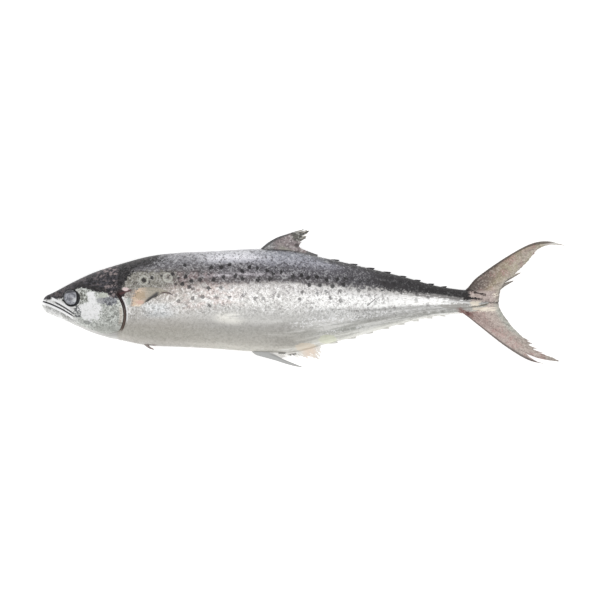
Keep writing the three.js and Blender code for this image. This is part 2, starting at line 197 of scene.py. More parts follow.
def sheet_faces(rows, columns):
    """Quads of two like grids, one above the other, and of the wall round their border."""
    i, k = np.meshgrid(np.arange(rows - 1), np.arange(columns - 1), indexing="ij")
    a = (i * columns + k).ravel()
    top = np.stack([a, a + columns, a + columns + 1, a + 1], -1)
    under = top[:, ::-1] + rows * columns
    edge = np.concatenate([
        np.arange(columns - 1),
        np.arange(rows - 1) * columns + columns - 1,
        (rows - 1) * columns + np.arange(columns - 1, 0, -1),
        np.arange(rows - 1, 0, -1) * columns,
    ])
    after = np.roll(edge, -1)
    wall = np.stack([edge, after, after + rows * columns, edge + rows * columns], -1)
    return np.concatenate([top, under, wall]).tolist()


# %% [markdown]
# ## The skin
#
# The trunk and head are one smooth skin. A lathe wouldn't do, because the section is a flattened
# oval that changes all the way, so rings of points are carried from snout to tail: each ring's
# height over the middle sheet is a superellipse. The head then gets its relief as small moves
# along the surface's own normal: the gill cover with its open slit, the jaws, the eye sockets,
# and the groove that hides the folded first dorsal fin.

# %% The ring of points at each station
ROUND_BACK, ROUND_BELLY = 2.15, 2.0
GILL = {"x": 78.0, "y": -23.0, "radius": 47.5}
CHEEK = {"x": 60.0, "y": -16.0, "radius": 31.0}
EYE_X, EYE_Y = 45.5, 3.8


def gill_rim(x, y):
    """How far outside the gill cover a place is: the larger of its distance outside the round rim
    and its depth below the throat's line, 4.5 mm above the belly, blended where the two meet."""
    outside = np.hypot(x - GILL["x"], y - GILL["y"]) - GILL["radius"]
    below = belly(x) + 4.5 + 6.5 * step(x, 98, 118) - y
    return (outside + below + np.hypot(outside - below, 3.0)) / 2 - 0.4


def mouth_line(x):
    """The closed mouth's height: a shallow parabola from the snout to the corner of the jaws."""
    return -1.8 - 0.27 * x - 0.0042 * x**2


def flank(x, y):
    """The skin's distance from the middle sheet: a superellipse over the height's share, plus the
    gill cover's swell behind the cheek and the keel along the tail's stalk."""
    above = y > widest(x)
    reach = np.where(above, back(x) - widest(x), widest(x) - belly(x))
    share = np.clip(np.abs(y - widest(x)) / np.maximum(reach, 1e-6), 0, 1)
    power = np.where(above, ROUND_BACK, ROUND_BELLY)
    smooth = smooth_curve(x, LANDMARK_X, HALF) * fullness(x) * (1 - share**power) ** (1 / power)
    swell = 2.2 * step(x, GILL["x"], GILL["x"] + 43) * (1 - step(gill_rim(x, y), -0.8, 1.2))
    keel = 2.4 * step(x, 600, 645) * ridge(y, 3.2) * fullness(x)
    return smooth + (swell + keel) * (1 - share**6)


def skin_grid(stations, turns):
    """Rings round the body. The turn runs from the back over the left flank to the belly and
    back under the right flank: y follows its cosine, and z is the flank's distance either way."""
    x, turn = np.meshgrid(stations, turns, indexing="ij")
    reach = np.where(np.cos(turn) > 0, back(x) - widest(x), widest(x) - belly(x))
    y = widest(x) + reach * np.cos(turn)
    z = middle(x) + np.sign(np.sin(turn)) * flank(x, y) * (np.abs(np.sin(turn)) > 1e-9)
    return np.stack([x, y, z], -1)


def grid_normals(grid):
    """Unit normals of a tube's grid: the cross product of its two directions of travel."""
    ahead = np.gradient(grid, axis=0)
    round_ = np.roll(grid, -1, axis=1) - np.roll(grid, 1, axis=1)
    normal = np.cross(round_, ahead)
    return normal / np.maximum(np.linalg.norm(normal, axis=-1, keepdims=True), 1e-9)


# %% The head's and the trunk's relief
def relief(x, y, z):
    """How far the skin stands out from its smooth form, in millimetres."""
    gill = gill_rim(x, y)
    behind = step(x, 62, 112) * (1 - step(y, 12, 22))
    slit = -2.0 * ridge(gill - 2.0, 1.3) * behind
    shoulder = 0.9 * ridge(gill - 6.5, 3.0) * behind
    cheek = np.hypot(x - CHEEK["x"], y - CHEEK["y"]) - CHEEK["radius"]
    crease = -0.25 * ridge(cheek, 1.6) * step(x, 66, 76)
    lips = x < 56
    gap = y - mouth_line(x)
    mouth = -1.5 * ridge(gap, 0.8) + 0.7 * ridge(gap - 2.4, 1.3) + 0.8 * ridge(gap + 2.6, 1.6)
    mouth = mouth * (1 - step(x, 49, 54))
    jaw = -0.9 * ridge(gap - 5.2 + 0.05 * (x - 27), 0.7) * step(x, 17, 23) * (1 - step(x, 50, 55))
    eye = np.hypot(x - EYE_X, y - EYE_Y)
    socket = -1.6 * (1 - step(eye, 10.6, 12.4)) + 0.7 * ridge(eye - 13.6, 1.2)
    pits = -1.0 * (ridge(np.hypot(x - 24.5, y - 7.2), 1.1) + ridge(np.hypot(x - 30.5, y - 9.6), 1.5))
    fold = -1.3 * ridge(z - middle(x), 1.3) * (y > 0) * step(x, 130, 138) * (1 - step(x, 322, 330))
    spine = 0.9 * ridge(z - middle(x), 0.5) * (y > 0) * step(x, 134, 142) * (1 - step(x, 318, 328))
    vent = -1.2 * ridge(z - middle(x), 1.1) * (y < 0) * step(x, 175, 180) * (1 - step(x, 360, 368))
    muscle = 0.25 * np.sin(y / 4.2 + 0.8 * np.sin(x / 55)) * step(x, 300, 420) * (1 - step(x, 560, 620))
    head = slit + shoulder + crease + (mouth + jaw) * lips + socket + pits
    return head + fold + spine + vent + muscle


stations = np.concatenate([
    NOSE * (1 - np.cos(np.linspace(0.09, 1, 13)[:-1] * np.pi / 2)),
    np.linspace(NOSE, 130, 151)[:-1],
    np.linspace(130, TAIL_ROOT, 261)[:-1],
    TAIL_ROOT + (FLESH_END - TAIL_ROOT) * np.sin(np.linspace(0, 0.97, 14) * np.pi / 2),
])
turns = np.concatenate([np.linspace(0, np.pi, 129)[:-1], np.linspace(np.pi, 2 * np.pi, 73)[:-1]])
grid = skin_grid(stations, turns)
px, py, pz = grid[..., 0], grid[..., 1], grid[..., 2]
grid = grid + grid_normals(grid) * (relief(px, py, pz) * fullness(px) ** 0.5)[..., None]
grid[..., 2] = np.maximum(grid[..., 2], 0)
print("the skin is", np.round(np.ptp(grid.reshape(-1, 3), axis=0), 1), "mm")

# %% [markdown]
# ### Facts that the skin's colours need
#
# The dark back ends along a wavering border, the black nape has an edge of its own, and the
# lateral line wanders from the gill to the tail. All three are curves in the side view. Each
# vertex stores how far above each curve it lies, so the material can draw a crisp line there at
# any size, and how far up the flank it is.

# %% Distances on the skin
BORDER_X = [0, 12, 30, 45, 54, 71, 83, 99, 106, 114, 122, 130, 150, 175, 210, 287, 363, 440, 470,
            500, 530, 562, 592, 608, 623, 640, 669, 684]
BORDER_Y = [1, 2.2, 3.5, 12, 18.5, 18, 14, 12.5, 7.5, 5, 8, 14, 18, 20, 22.5, 26, 26.5, 22, 20,
            18.5, 14, 11.6, 8.4, 7.4, 4.6, 3, 1.5, 1]
NAPE_X = [0, 30, 54, 71, 83, 99, 106, 113, 121, 127, 134, 150, 165, 200, 684]
NAPE_Y = [1, 3.5, 18.5, 18, 14, 12.5, 8, 8, 14, 32, 46, 50, 51, 52, 52]
LINE_X = [120, 131, 170, 247, 296, 343, 383, 440, 485, 524, 570, 630, 684]
LINE_Y = [38, 41.5, 43, 42.7, 38.8, 32.8, 29, 17, 5, -1.5, -2.5, -4, -3]

# Spots of one kind: their radius, how dark they are, and where they lie
SPOTS = [
    (3.1, 0.95, [
        (219, 53), (259, 49), (274, 50), (287, 54), (306, 44), (317, 50), (329, 48), (344, 45),
        (353, 40), (366, 42), (383, 36), (396, 38), (406, 34), (419, 35), (435, 30), (451, 32),
        (463, 33)]),
    (3.3, 0.9, [
        (156.5, 30), (169, 34), (201, 39), (220, 35), (229, 29), (242, 31), (263, 31), (278, 35),
        (296, 36), (306, 33), (330, 31), (349, 32), (215, 24), (226, 19.5), (255, 18), (408, 23),
        (424, 22), (443, 21), (460, 23)]),
    (3.1, 0.62, [
        (246, 5), (209, -2), (256, -9), (274, 19), (231, 2), (232, 17), (267, 4), (308, 7),
        (287, 4), (326, 3), (338, 2), (361, 6), (394, 1), (397, 12), (420, 10), (433, 13),
        (440, 3), (455, 14), (456, -1)]),
    (2.0, 0.7, [
        (295, 46), (305, 54), (358, 50), (369, 57), (232, 40), (255, 39), (278, -5), (183, 37),
        (149, 24), (205, 24), (210, 34), (165, 28), (193, 34)]),
]
RINGED = [(156.5, 30), (193, 34)]


def nearest_spot(x, y):
    """How far each place is outside the nearest spot's rim, and how dark that spot is."""
    nearest, dark = np.full(x.shape, 99.0), np.zeros(x.shape)
    for radius, depth, places in SPOTS:
        for at_x, at_y in places:
            away = np.hypot(x - at_x, y - at_y) - radius
            dark = np.where(away < nearest, depth, dark)
            nearest = np.minimum(nearest, away)
    return nearest, dark


def above(x, y, curve_x, curve_y):
    """The height over a curve: y less the curve's own height at x."""
    return y - smooth_curve(x, np.array(curve_x, float), curve_y)


def skin_facts(x, y):
    """Rise is -1 at the belly line, 0 at the widest line and 1 at the back. Border, nape and line
    are heights over their curves, gill is the distance outside the gill cover's rim, and spot the
    distance outside the nearest spot, all in millimetres."""
    reach = np.where(y > widest(x), back(x) - widest(x), widest(x) - belly(x))
    spot, dark = nearest_spot(x, y)
    return {
        "rise": (y - widest(x)) / np.maximum(reach, 1e-6),
        "border": above(x, y, BORDER_X, BORDER_Y),
        "nape": above(x, y, NAPE_X, NAPE_Y),
        "line": above(x, y, LINE_X, LINE_Y),
        "gill": gill_rim(x, y),
        "spot": spot,
        "spot_dark": dark,
    }


ends = np.array([[0, widest(0.0), middle(0.0)], [FLESH_END, widest(FLESH_END), middle(FLESH_END)]])
facts = skin_facts(np.append(px.ravel(), ends[:, 0]), np.append(py.ravel(), ends[:, 1]))
places = np.vstack([grid.reshape(-1, 3), ends])
skin = finish_piece(
    "fish_skin", places, ring_faces(len(stations), len(turns)), facts, ["body"])

# %% [markdown]
# ## Writing materials as sums
#
# A material is a net of nodes, but it reads best as arithmetic. A small class wraps a node's
# output, so that adding or multiplying two of them adds a Math node. Colours are mixed by a Mix
# node, since a Math node would turn them grey. One method makes any other node.

# %% The material helper
class Value:
    """A number that varies over a surface: arithmetic on it adds Math nodes."""

    def __init__(self, paint, socket):
        self.paint, self.socket = paint, socket

    def math(self, operation, *inputs):
        """A Math node on these inputs. Its own output is a value that varies too."""
        return self.paint.node("ShaderNodeMath", {"operation": operation}, *inputs)

    def __add__(self, other):
        return self.math("ADD", self, other)

    def __sub__(self, other):
        return self.math("SUBTRACT", self, other)

    def __rsub__(self, other):
        return self.math("SUBTRACT", other, self)

    def __mul__(self, other):
        return self.math("MULTIPLY", self, other)

    def __truediv__(self, other):
        return self.math("DIVIDE", self, other)

    def __pow__(self, other):
        return self.math("POWER", self, other)

    def __abs__(self):
        return self.math("ABSOLUTE", self)

    __radd__, __rmul__ = __add__, __mul__

    def root(self):
        return self.math("SQRT", self)

    def greater(self, other):
        """The larger of two values, so that two masks join without adding up."""
        return self.math("MAXIMUM", self, other)

    def step(self, low, high, start=0, end=1):
        """A smooth change from start, where the value is low, to end, where it is high. With low
        above high the change runs the other way, so the value falls from 1 to 0."""
        settings = {"interpolation_type": "SMOOTHSTEP"}
        return self.paint.node("ShaderNodeMapRange", settings, self, low, high, start, end)

    def band(self, low, high, soft):
        """1 between low and high, falling smoothly to 0 over the soft width on both sides."""
        return self.step(low - soft, low + soft) * self.step(high + soft, high - soft)


class Paint:
    """A material with one Principled shader. Its colour is painted layer over layer."""

    def __init__(self, name, **same_everywhere):
        self.material = bpy.data.materials.new(name)
        self.material.use_nodes = True
        self.nodes = self.material.node_tree.nodes
        self.links = self.material.node_tree.links
        self.shader = self.nodes["Principled BSDF"]
        for socket, number in same_everywhere.items():
            self.shader.inputs[socket.replace("_", " ")].default_value = number

    def node(self, kind, settings, *inputs, out=0, **named):
        """A new node with its settings made first, then its inputs in order or by name."""
        made = self.nodes.new(kind)
        for setting, value in settings.items():
            if setting == "stops":
                self.set_stops(made.color_ramp.elements, value)
            else:
                setattr(made, setting, value)
        for socket, value in zip(made.inputs, inputs):
            self.put(socket, value)
        for socket, value in named.items():
            self.put(made.inputs[socket], value)
        return Value(self, made.outputs[out])

    def put(self, socket, value):
        """Links a value that varies, or sets the socket's own number."""
        if isinstance(value, Value):
            self.links.new(value.socket, socket)
        else:
            socket.default_value = value

    @staticmethod
    def set_stops(elements, stops):
        """Gives a colour ramp its stops, each a position from 0 to 1 and a colour."""
        while len(elements) < len(stops):
            elements.new(1)
        for element, (position, colour) in zip(elements, stops):
            element.position, element.color = position, colour

    def ramp(self, value, *stops):
        """A colour that runs through the stops as the value grows. A stop is a value and a tone."""
        low, high = stops[0][0], stops[-1][0]
        scaled = [((place - low) / (high - low), tone(*rgb)) for place, rgb in stops]
        return self.node("ShaderNodeValToRGB", {"stops": scaled}, (value - low) / (high - low))

    def fact(self, name):
        """One of the numbers that ride along on the vertices."""
        return self.node("ShaderNodeAttribute", {"attribute_name": name}, out=2)

    def place(self):
        """The fish's own x, y and z at a point, in millimetres, kept as one vector too."""
        where = self.node("ShaderNodeTexCoord", {}, out=3)
        metres = self.node("ShaderNodeVectorMath", {"operation": "SUBTRACT"}, where, tuple(SHIFT))
        outputs = self.node("ShaderNodeSeparateXYZ", {}, metres).socket.node.outputs
        x, y, z = [Value(self, outputs[k]) * 1000 for k in range(3)]
        self.here = self.vector(x, y, z)
        return x, y, z

    def vector(self, x, y, z=0):
        """Three numbers as one place, for the noises and cells below."""
        return self.node("ShaderNodeCombineXYZ", {}, x, y, z)

    def noise(self, where, scale, detail=3, rough=0.55):
        """Cloudy noise about 0.5. The scale is in lumps for each millimetre."""
        return self.node("ShaderNodeTexNoise", {}, where, Scale=scale, Detail=detail, Roughness=rough)

    def cells(self, where, loose, out=0):
        """One dot in each cell of a flat grid, moved about by the looseness: how far the nearest
        dot is, or a colour of its own by output 1."""
        settings = {"voronoi_dimensions": "2D"}
        return self.node("ShaderNodeTexVoronoi", settings, where, Scale=1, Randomness=loose, out=out)

    def flecks(self, scale):
        """A number from 0 to 1 for each small cell of space, so that flecks are crisp."""
        cell = self.node("ShaderNodeTexVoronoi", {}, self.here, Scale=scale, out=1)
        return self.node("ShaderNodeSeparateXYZ", {}, cell)

    def mix(self, share, first, second):
        """A colour between two: the first where share is 0 and the second where it is 1."""
        mixer = self.nodes.new("ShaderNodeMix")
        mixer.data_type = "RGBA"
        self.put(mixer.inputs[0], share)
        for socket, colour in ((mixer.inputs[6], first), (mixer.inputs[7], second)):
            self.put(socket, tone(*colour) if isinstance(colour, tuple) else colour)
        return Value(self, mixer.outputs[2])

    def lay(self, mask, colour):
        """Lays a colour over what is painted so far, where the mask is 1."""
        self.colour = self.mix(mask, self.colour, colour)

    def finish(self, relief=None, depth=0.0004, strength=0.6, **varying):
        """Feeds the colour and all else that varies to the shader. A relief of 1 is as high as
        the depth, in metres."""
        varying["Base_Color"] = self.colour
        if relief is not None:
            settings = {"Strength": strength, "Distance": depth, "Height": relief}
            varying["Normal"] = self.node("ShaderNodeBump", {}, **settings)
        for socket, value in varying.items():
            self.put(self.shader.inputs[socket.replace("_", " ")], value)
        return self.material


def tone(red, green, blue):
    """A colour read as 0 to 255 on a screen, as the linear numbers that a shader needs."""
    c = np.array([red, green, blue]) / 255
    linear = np.where(c <= 0.04045, c / 12.92, ((c + 0.055) / 1.055) ** 2.4)
    return (*linear.tolist(), 1.0)


# %% [markdown]
# ## The skin's finish
#
# Fresh mackerel skin is silver foil under slime. The back is slate with a violet cast, almost
# black on the nape and at the tail, with a bright bluish streak under the ridge that is a painted
# highlight, and breaks up into the silver along a mottled border. Below it runs a milky white band,
# partly a painted reflection of the light overhead, and then warm pewter down to the belly, painted
# darker at the belly's edge as shade. Small dark spots follow the border in loose rows. The foil
# reflects, so part of the finish is metallic, and the slime is a thin clear coat with tiny ripples
# from the scales.

# %% Tones of the skin
SPOT, SHADE, BLOOD = (27, 25, 27), (58, 54, 56), (88, 42, 42)
PEWTER, MOSS, ROSE = (140, 137, 132), (140, 137, 128), (176, 150, 142)
PEACH, CREAM = (214, 197, 181), (240, 230, 214)
MILK, WHITE = (238, 237, 234), (250, 250, 251)


def apart(x, y, at_x, at_y):
    """How far a place is from another in the side view: the root of the summed squares."""
    return ((x - at_x) ** 2 + (y - at_y) ** 2).root()


def round_spot(x, y, at_x, at_y, radius, soft):
    """1 inside a circle in the side view and 0 outside it."""
    return apart(x, y, at_x, at_y).step(radius + soft, radius - soft)


def oval(x, y, at_x, at_y, wide, tall, ragged):
    """1 inside an ellipse in the side view and 0 outside it, with a ragged edge."""
    away = apart(x / wide, y / tall, at_x / wide, at_y / tall) + ragged
    return away.step(1.06, 0.9)


def stroke(x, y, at_x, at_y, slope, full, faded, start, end, soft):
    """1 along a straight line through a place, from start to end, fading out to both sides."""
    away = abs(y - at_y - (x - at_x) * slope)
    return away.step(faded, full) * x.band(start, end, soft)


def flank_colours(p, x, rise, streaks):
    """The silver flank from the belly up. Rise is -1 at the belly line and 0 at the widest line.
    In front it only pales upwards; further back dim and bright bands run towards the tail. The
    darker tones at the belly line are painted shade, and the brightest band near the widest line,
    where the skin faces up, is partly a painted reflection of the light overhead."""
    # Painted shade at the belly line; the brightest band is partly a painted reflection of the light
    front = p.ramp(
        rise, (-1, (160, 156, 150)), (-0.9, (182, 178, 170)), (-0.75, (184, 181, 172)),
        (-0.6, (180, 176, 168)), (-0.4, (190, 187, 182)), (-0.12, (186, 184, 180)),
        (0.05, (164, 158, 151)), (0.3, (150, 141, 134)))
    deepest = p.ramp(
        rise, (-1, (176, 173, 163)), (-0.92, (198, 195, 186)), (-0.8, (192, 189, 181)),
        (-0.6, (180, 178, 172)), (-0.5, (184, 182, 178)), (-0.4, (202, 201, 197)),
        (-0.3, (188, 187, 184)), (-0.18, (174, 173, 170)), (-0.08, (194, 193, 190)),
        (0.04, (216, 215, 212)), (0.26, (190, 187, 185)), (0.45, (146, 142, 139)))
    rear = p.ramp(
        rise - x.step(440, 520, 0.07, -0.02), (-1, (214, 214, 206)), (-0.9, (226, 226, 219)),
        (-0.85, (206, 206, 199)), (-0.8, (174, 175, 169)), (-0.7, (196, 196, 191)),
        (-0.55, (188, 188, 185)), (-0.42, (204, 204, 202)), (-0.3, (168, 168, 166)),
        (-0.2, (238, 238, 236)), (-0.05, (246, 246, 244)), (0.1, (234, 233, 232)),
        (0.3, (202, 200, 198)))
    p.colour = p.mix(x.step(190, 290), front, p.mix(x.step(370, 450), deepest, rear))
    reach = rise.band(-0.98, -0.4, 0.06) * x.step(300, 400)
    p.lay(reach * streaks.step(0.5, 0.62) * 0.6, MILK)
    p.lay(reach * streaks.step(0.5, 0.38) * 0.4, PEWTER)
    glow = x.band(268, 304, 12) * rise.band(-0.48, -0.28, 0.08)
    p.lay(glow * streaks.step(0.36, 0.56) * 0.85, (240, 238, 230))


def back_colours(p, x, border):
    """The dark back, by the height above its border: slate with a pale and a dark stripe, a bright
    bluish streak under the ridge that is a painted highlight, the sheen of the light from the back,
    and nearly black towards the tail."""
    # The lighter, bluish tones high up in each ramp are a painted highlight: the sheen of the light from
    # the back
    front = p.ramp(
        border, (-3, (122, 112, 108)), (10, (110, 104, 103)), (24, (110, 107, 109)),
        (34, (106, 105, 110)), (42, (138, 137, 142)), (50, (148, 147, 152)))
    mid = p.ramp(
        border, (-3, (116, 108, 109)), (3, (86, 80, 82)), (8, (110, 104, 107)), (12, (170, 164, 170)),
        (16, (118, 114, 119)), (22, (90, 87, 92)), (28, (112, 110, 115)), (33, (166, 166, 174)),
        (38, (222, 221, 227)), (43, (204, 204, 210)), (50, (164, 164, 168)))
    fins = p.ramp(
        border, (-3, (94, 88, 90)), (10, (80, 77, 82)), (22, (98, 96, 103)), (32, (148, 148, 158)),
        (42, (138, 140, 150)), (50, (108, 110, 118)))
    slate = p.mix(x.step(225, 275), front, mid)
    slate = p.mix(x.step(300, 365), slate, fins)
    slate = p.mix(border.band(10.5, 14, 1.5) * x.band(240, 385, 20) * 0.45, slate, (188, 182, 188))
    slate = p.mix(x.step(430, 480) * 0.9, slate, (72, 70, 75))
    slate = p.mix(x.step(485, 525), slate, (46, 44, 47))
    return p.mix(x.step(540, 600), slate, (34, 32, 33))


def rear_spots(p, x, border, grain):
    """Behind the placed spots the rows fade: one faint spot or none in each cell of a grid."""
    rows = p.vector(x / 12.6, (border + 43.6) / 12.3)
    chance = p.node("ShaderNodeSeparateXYZ", {}, p.cells(rows, 0.8, out=1))
    away = p.cells(rows, 0.8) + (grain - 0.5) * 0.4
    kept = chance.step(0.34, 0.38) * border.band(-28, 26, 4) * x.band(472, 610, 8)
    return away.step(0.27, 0.16) * kept * border.step(-20, 0, 0.35, 0.6)


# %% The head's paint
def head_colours(p, x, y, border, gill, grain, cells, mottle):
    """Dark top, white cheek and mottled gill cover, pale throat, and the brown slit behind. The
    milky white of the cheek is partly a painted highlight of the light overhead.
    """
    ragged = (cells - 0.5) * 0.12 + (grain - 0.5) * 0.7
    torn = ragged + (mottle - 0.5) * 2.4
    cheek = p.mix(cells.step(0.1, 0.9), (136, 138, 133), (224, 227, 222))
    chin = p.mix(cells.step(0.1, 0.9), (202, 202, 200), (240, 240, 239))
    milky = p.mix(cells.step(0.5, 0.1), WHITE, (224, 225, 224))
    bruise = p.mix(cells.step(0.2, 0.8), (78, 79, 88), (152, 154, 160))
    body, p.colour = p.colour, p.mix(x.step(66, 40), cheek, chin)
    p.lay(y.step(-30, -46) * x.step(70, 90) * 0.6, (166, 168, 161))
    p.lay(oval(x, y, 92, -1, 9, 4.5, torn) * 0.6, (150, 149, 158))
    p.lay(oval(x, y, 106, -1, 11.5, 7, torn) * 0.9, bruise)
    p.lay(oval(x, y, 96, 7.5, 7, 4, torn) * 0.7, (206, 210, 198))
    p.lay(oval(x, y, 110, 9, 8, 5, torn) * 0.7, (142, 126, 126))
    p.lay(oval(x, y, 64, 4, 7.5, 11, ragged) * cells.step(0.8, 0.3), (104, 105, 98))
    # The milky white laid on the cheek here and in the band below is partly a painted highlight
    p.lay(oval(x, y, 73.5, -17, 19, 13, torn), milky)
    lean = x + y * 0.2 + (grain - 0.5) * 8
    p.lay(lean.band(71.5, 83.5, 1.6) * y.band(-10, 12.5, 1.6), milky)
    p.lay(oval(x, y, 55, -18, 6.5, 9.5, ragged) * cells.step(0.8, 0.3) * 0.9, (74, 78, 82))
    p.lay(oval(x, y, 70, -34, 6, 2.6, ragged) * 0.6, (120, 122, 122))
    jaw = x.band(31, 45, 4) * (y + x * 0.62 + 0.5).band(-6, 2, 1.5)
    p.lay(jaw * grain.step(0.36, 0.6) * 0.7, (112, 112, 104))
    top = p.mix(cells.step(0.25, 0.85), (20, 19, 22), (72, 70, 76))
    top = p.mix(mottle.step(0.49, 0.62) * x.step(80, 100, 0.3, 1), top, (142, 130, 130))
    top = p.mix(x.band(48, 102, 5) * border.band(-2, 5.5, 2) * 0.7, top, (30, 28, 28))
    p.lay((border + (grain - 0.5) * 10 + 1.5).step(-0.8, 0.8), top)
    p.lay(gill.step(-0.5, 0.8) * y.step(-30, -40), (196, 195, 192))
    head, p.colour = p.colour, body
    p.lay(x.step(120, 112).greater(gill.step(0.6, -1)), head)

    # The slit behind the gill cover, its dark rim and its pale rim, which is a painted highlight
    # along the raised shoulder behind it, the root of the pectoral fin, and a pinkish-white painted
    # highlight at the slit's top
    behind = x.step(104, 112) * y.step(14, 6)
    slit_end = behind * y.step(-50, -42)
    p.lay(gill.band(-6, -1.2, 1.2) * x.step(108, 114) * y.band(-36, -12, 5) * 0.4, PEACH)
    p.lay(gill.band(0, 4.2, 0.7) * slit_end, p.mix(y.step(-4, -34), (54, 40, 41), (112, 97, 88)))
    p.lay(gill.band(-0.4, 1, 0.5) * slit_end * 0.7, (64, 54, 50))
    broken = grain.step(0.3, 0.5)
    lower_rim = gill.band(-0.6, 1.2, 0.7) * x.band(86, 120, 6) * y.step(-36, -42)
    p.lay(lower_rim * broken * 0.8, (118, 116, 106))
    # Painted highlight: a broken white streak along the raised shoulder behind the slit
    p.lay(gill.band(4.8, 6.8, 0.7) * behind * y.step(-36, -26) * broken * 0.9, WHITE)
    p.lay(oval(x, y, 133, -2, 3.6, 6, ragged) * 0.6, (146, 156, 152))
    p.lay(oval(x, y, 122, 10, 6, 6.5, ragged), (48, 35, 36))
    p.lay(stroke(x, y, 121, 9.5, 0.36, 0.9, 2.3, 119, 138, 2) * 0.85, (78, 44, 46))
    # Painted highlight: a pinkish-white patch at the top of the slit
    p.lay(oval(x, y, 128.5, 16.5, 5.5, 2.8, ragged * 1.6) * 0.9, (222, 202, 202))


def jaw_lines(p, x, y, cells):
    """The shut mouth and the upper jaw bone: dark creases between white lips."""
    lip = y + 1.8 + x * 0.27 + x * x * 0.0042
    lean = lip + (x - 27) * 0.05
    jaws = x.step(50, 44)
    p.lay(lip.band(-4.6, -1.2, 0.6) * jaws, WHITE)
    p.lay(lip.band(-8.6, -5.2, 0.8) * jaws * cells.step(0.8, 0.3) * 0.5, (130, 132, 130))
    p.lay(lip.band(1, 3.4, 0.6) * jaws * cells.step(0.2, 0.5), WHITE)
    p.lay(abs(lip).step(1.7, 0.7) * x.step(52, 44), (62, 62, 68))
    p.lay(abs(lean - 5.2).step(1.8, 0.7) * x.band(20, 50, 3), (66, 66, 69))
    p.lay(lean.band(6.8, 10.6, 0.8) * x.band(15, 44, 2), WHITE)


# %% Where the flesh meets the tail fin
def tail_root_marks(p, x, y, cells):
    """Two dark tongues with a pale wedge between them, cream patches below, and a red-brown edge.
    The marks run out in fingers, because their places are shaken by a noise drawn out in x."""
    fan = p.noise(p.vector(x / 34, y / 2.6), 1, 2, 0.5)
    x, y = x + (fan - 0.5) * 14 + (cells - 0.5) * 4, y + (cells - 0.5) * 3
    pale = p.mix(cells.step(0.1, 0.9), (160, 144, 138), (204, 190, 184))
    p.lay(x.band(653, 692, 3) * y.band(-2.5, 14, 2), pale)
    p.lay(stroke(x, y, 653, 15.3, -0.333, 0.8, 2, 648, 677, 3), (48, 36, 34))
    tongue = (6.5 - (x - 649) * 0.24 - y).step(-0.8, 0.8) * (y - 0.4).step(-0.8, 0.8)
    p.lay(tongue * x.step(673, 669) * x.step(640, 646), (34, 31, 31))
    p.lay(x.band(655, 669, 2) * y.band(-8.6, -1.8, 1.2) * cells.step(0, 0.4), CREAM)
    p.lay(x.band(658, 694, 3) * y.band(-17.5, -11, 1.5) * fan.step(0.36, 0.5), CREAM)
    p.lay(x.band(688, 696, 1.5) * y.band(5, 11, 1.5) * cells.step(0.3, 0.6), CREAM)
    p.lay(stroke(x, y, 657, -10.7, 0.19, 0.7, 1.7, 655, 682, 2) * 0.85, (112, 106, 90))
    p.lay(stroke(x, y, 681, -3, -0.12, 0.6, 1.6, 680, 699, 2) * 0.85, (64, 54, 50))
    p.lay(oval(x, y, 632, -9.5, 24, 4.5, (cells - 0.5) * 0.6) * 0.6, (150, 146, 140))
    rust = x.band(636, 660, 4) * (y + (x - 648) * 0.45).band(-23, -15.5, 1.5)
    p.lay(rust * cells.step(0, 0.6), (134, 102, 96))
    p.lay(round_spot(x, y, 651, -21, 2.8, 1.4) * 0.9, BLOOD)


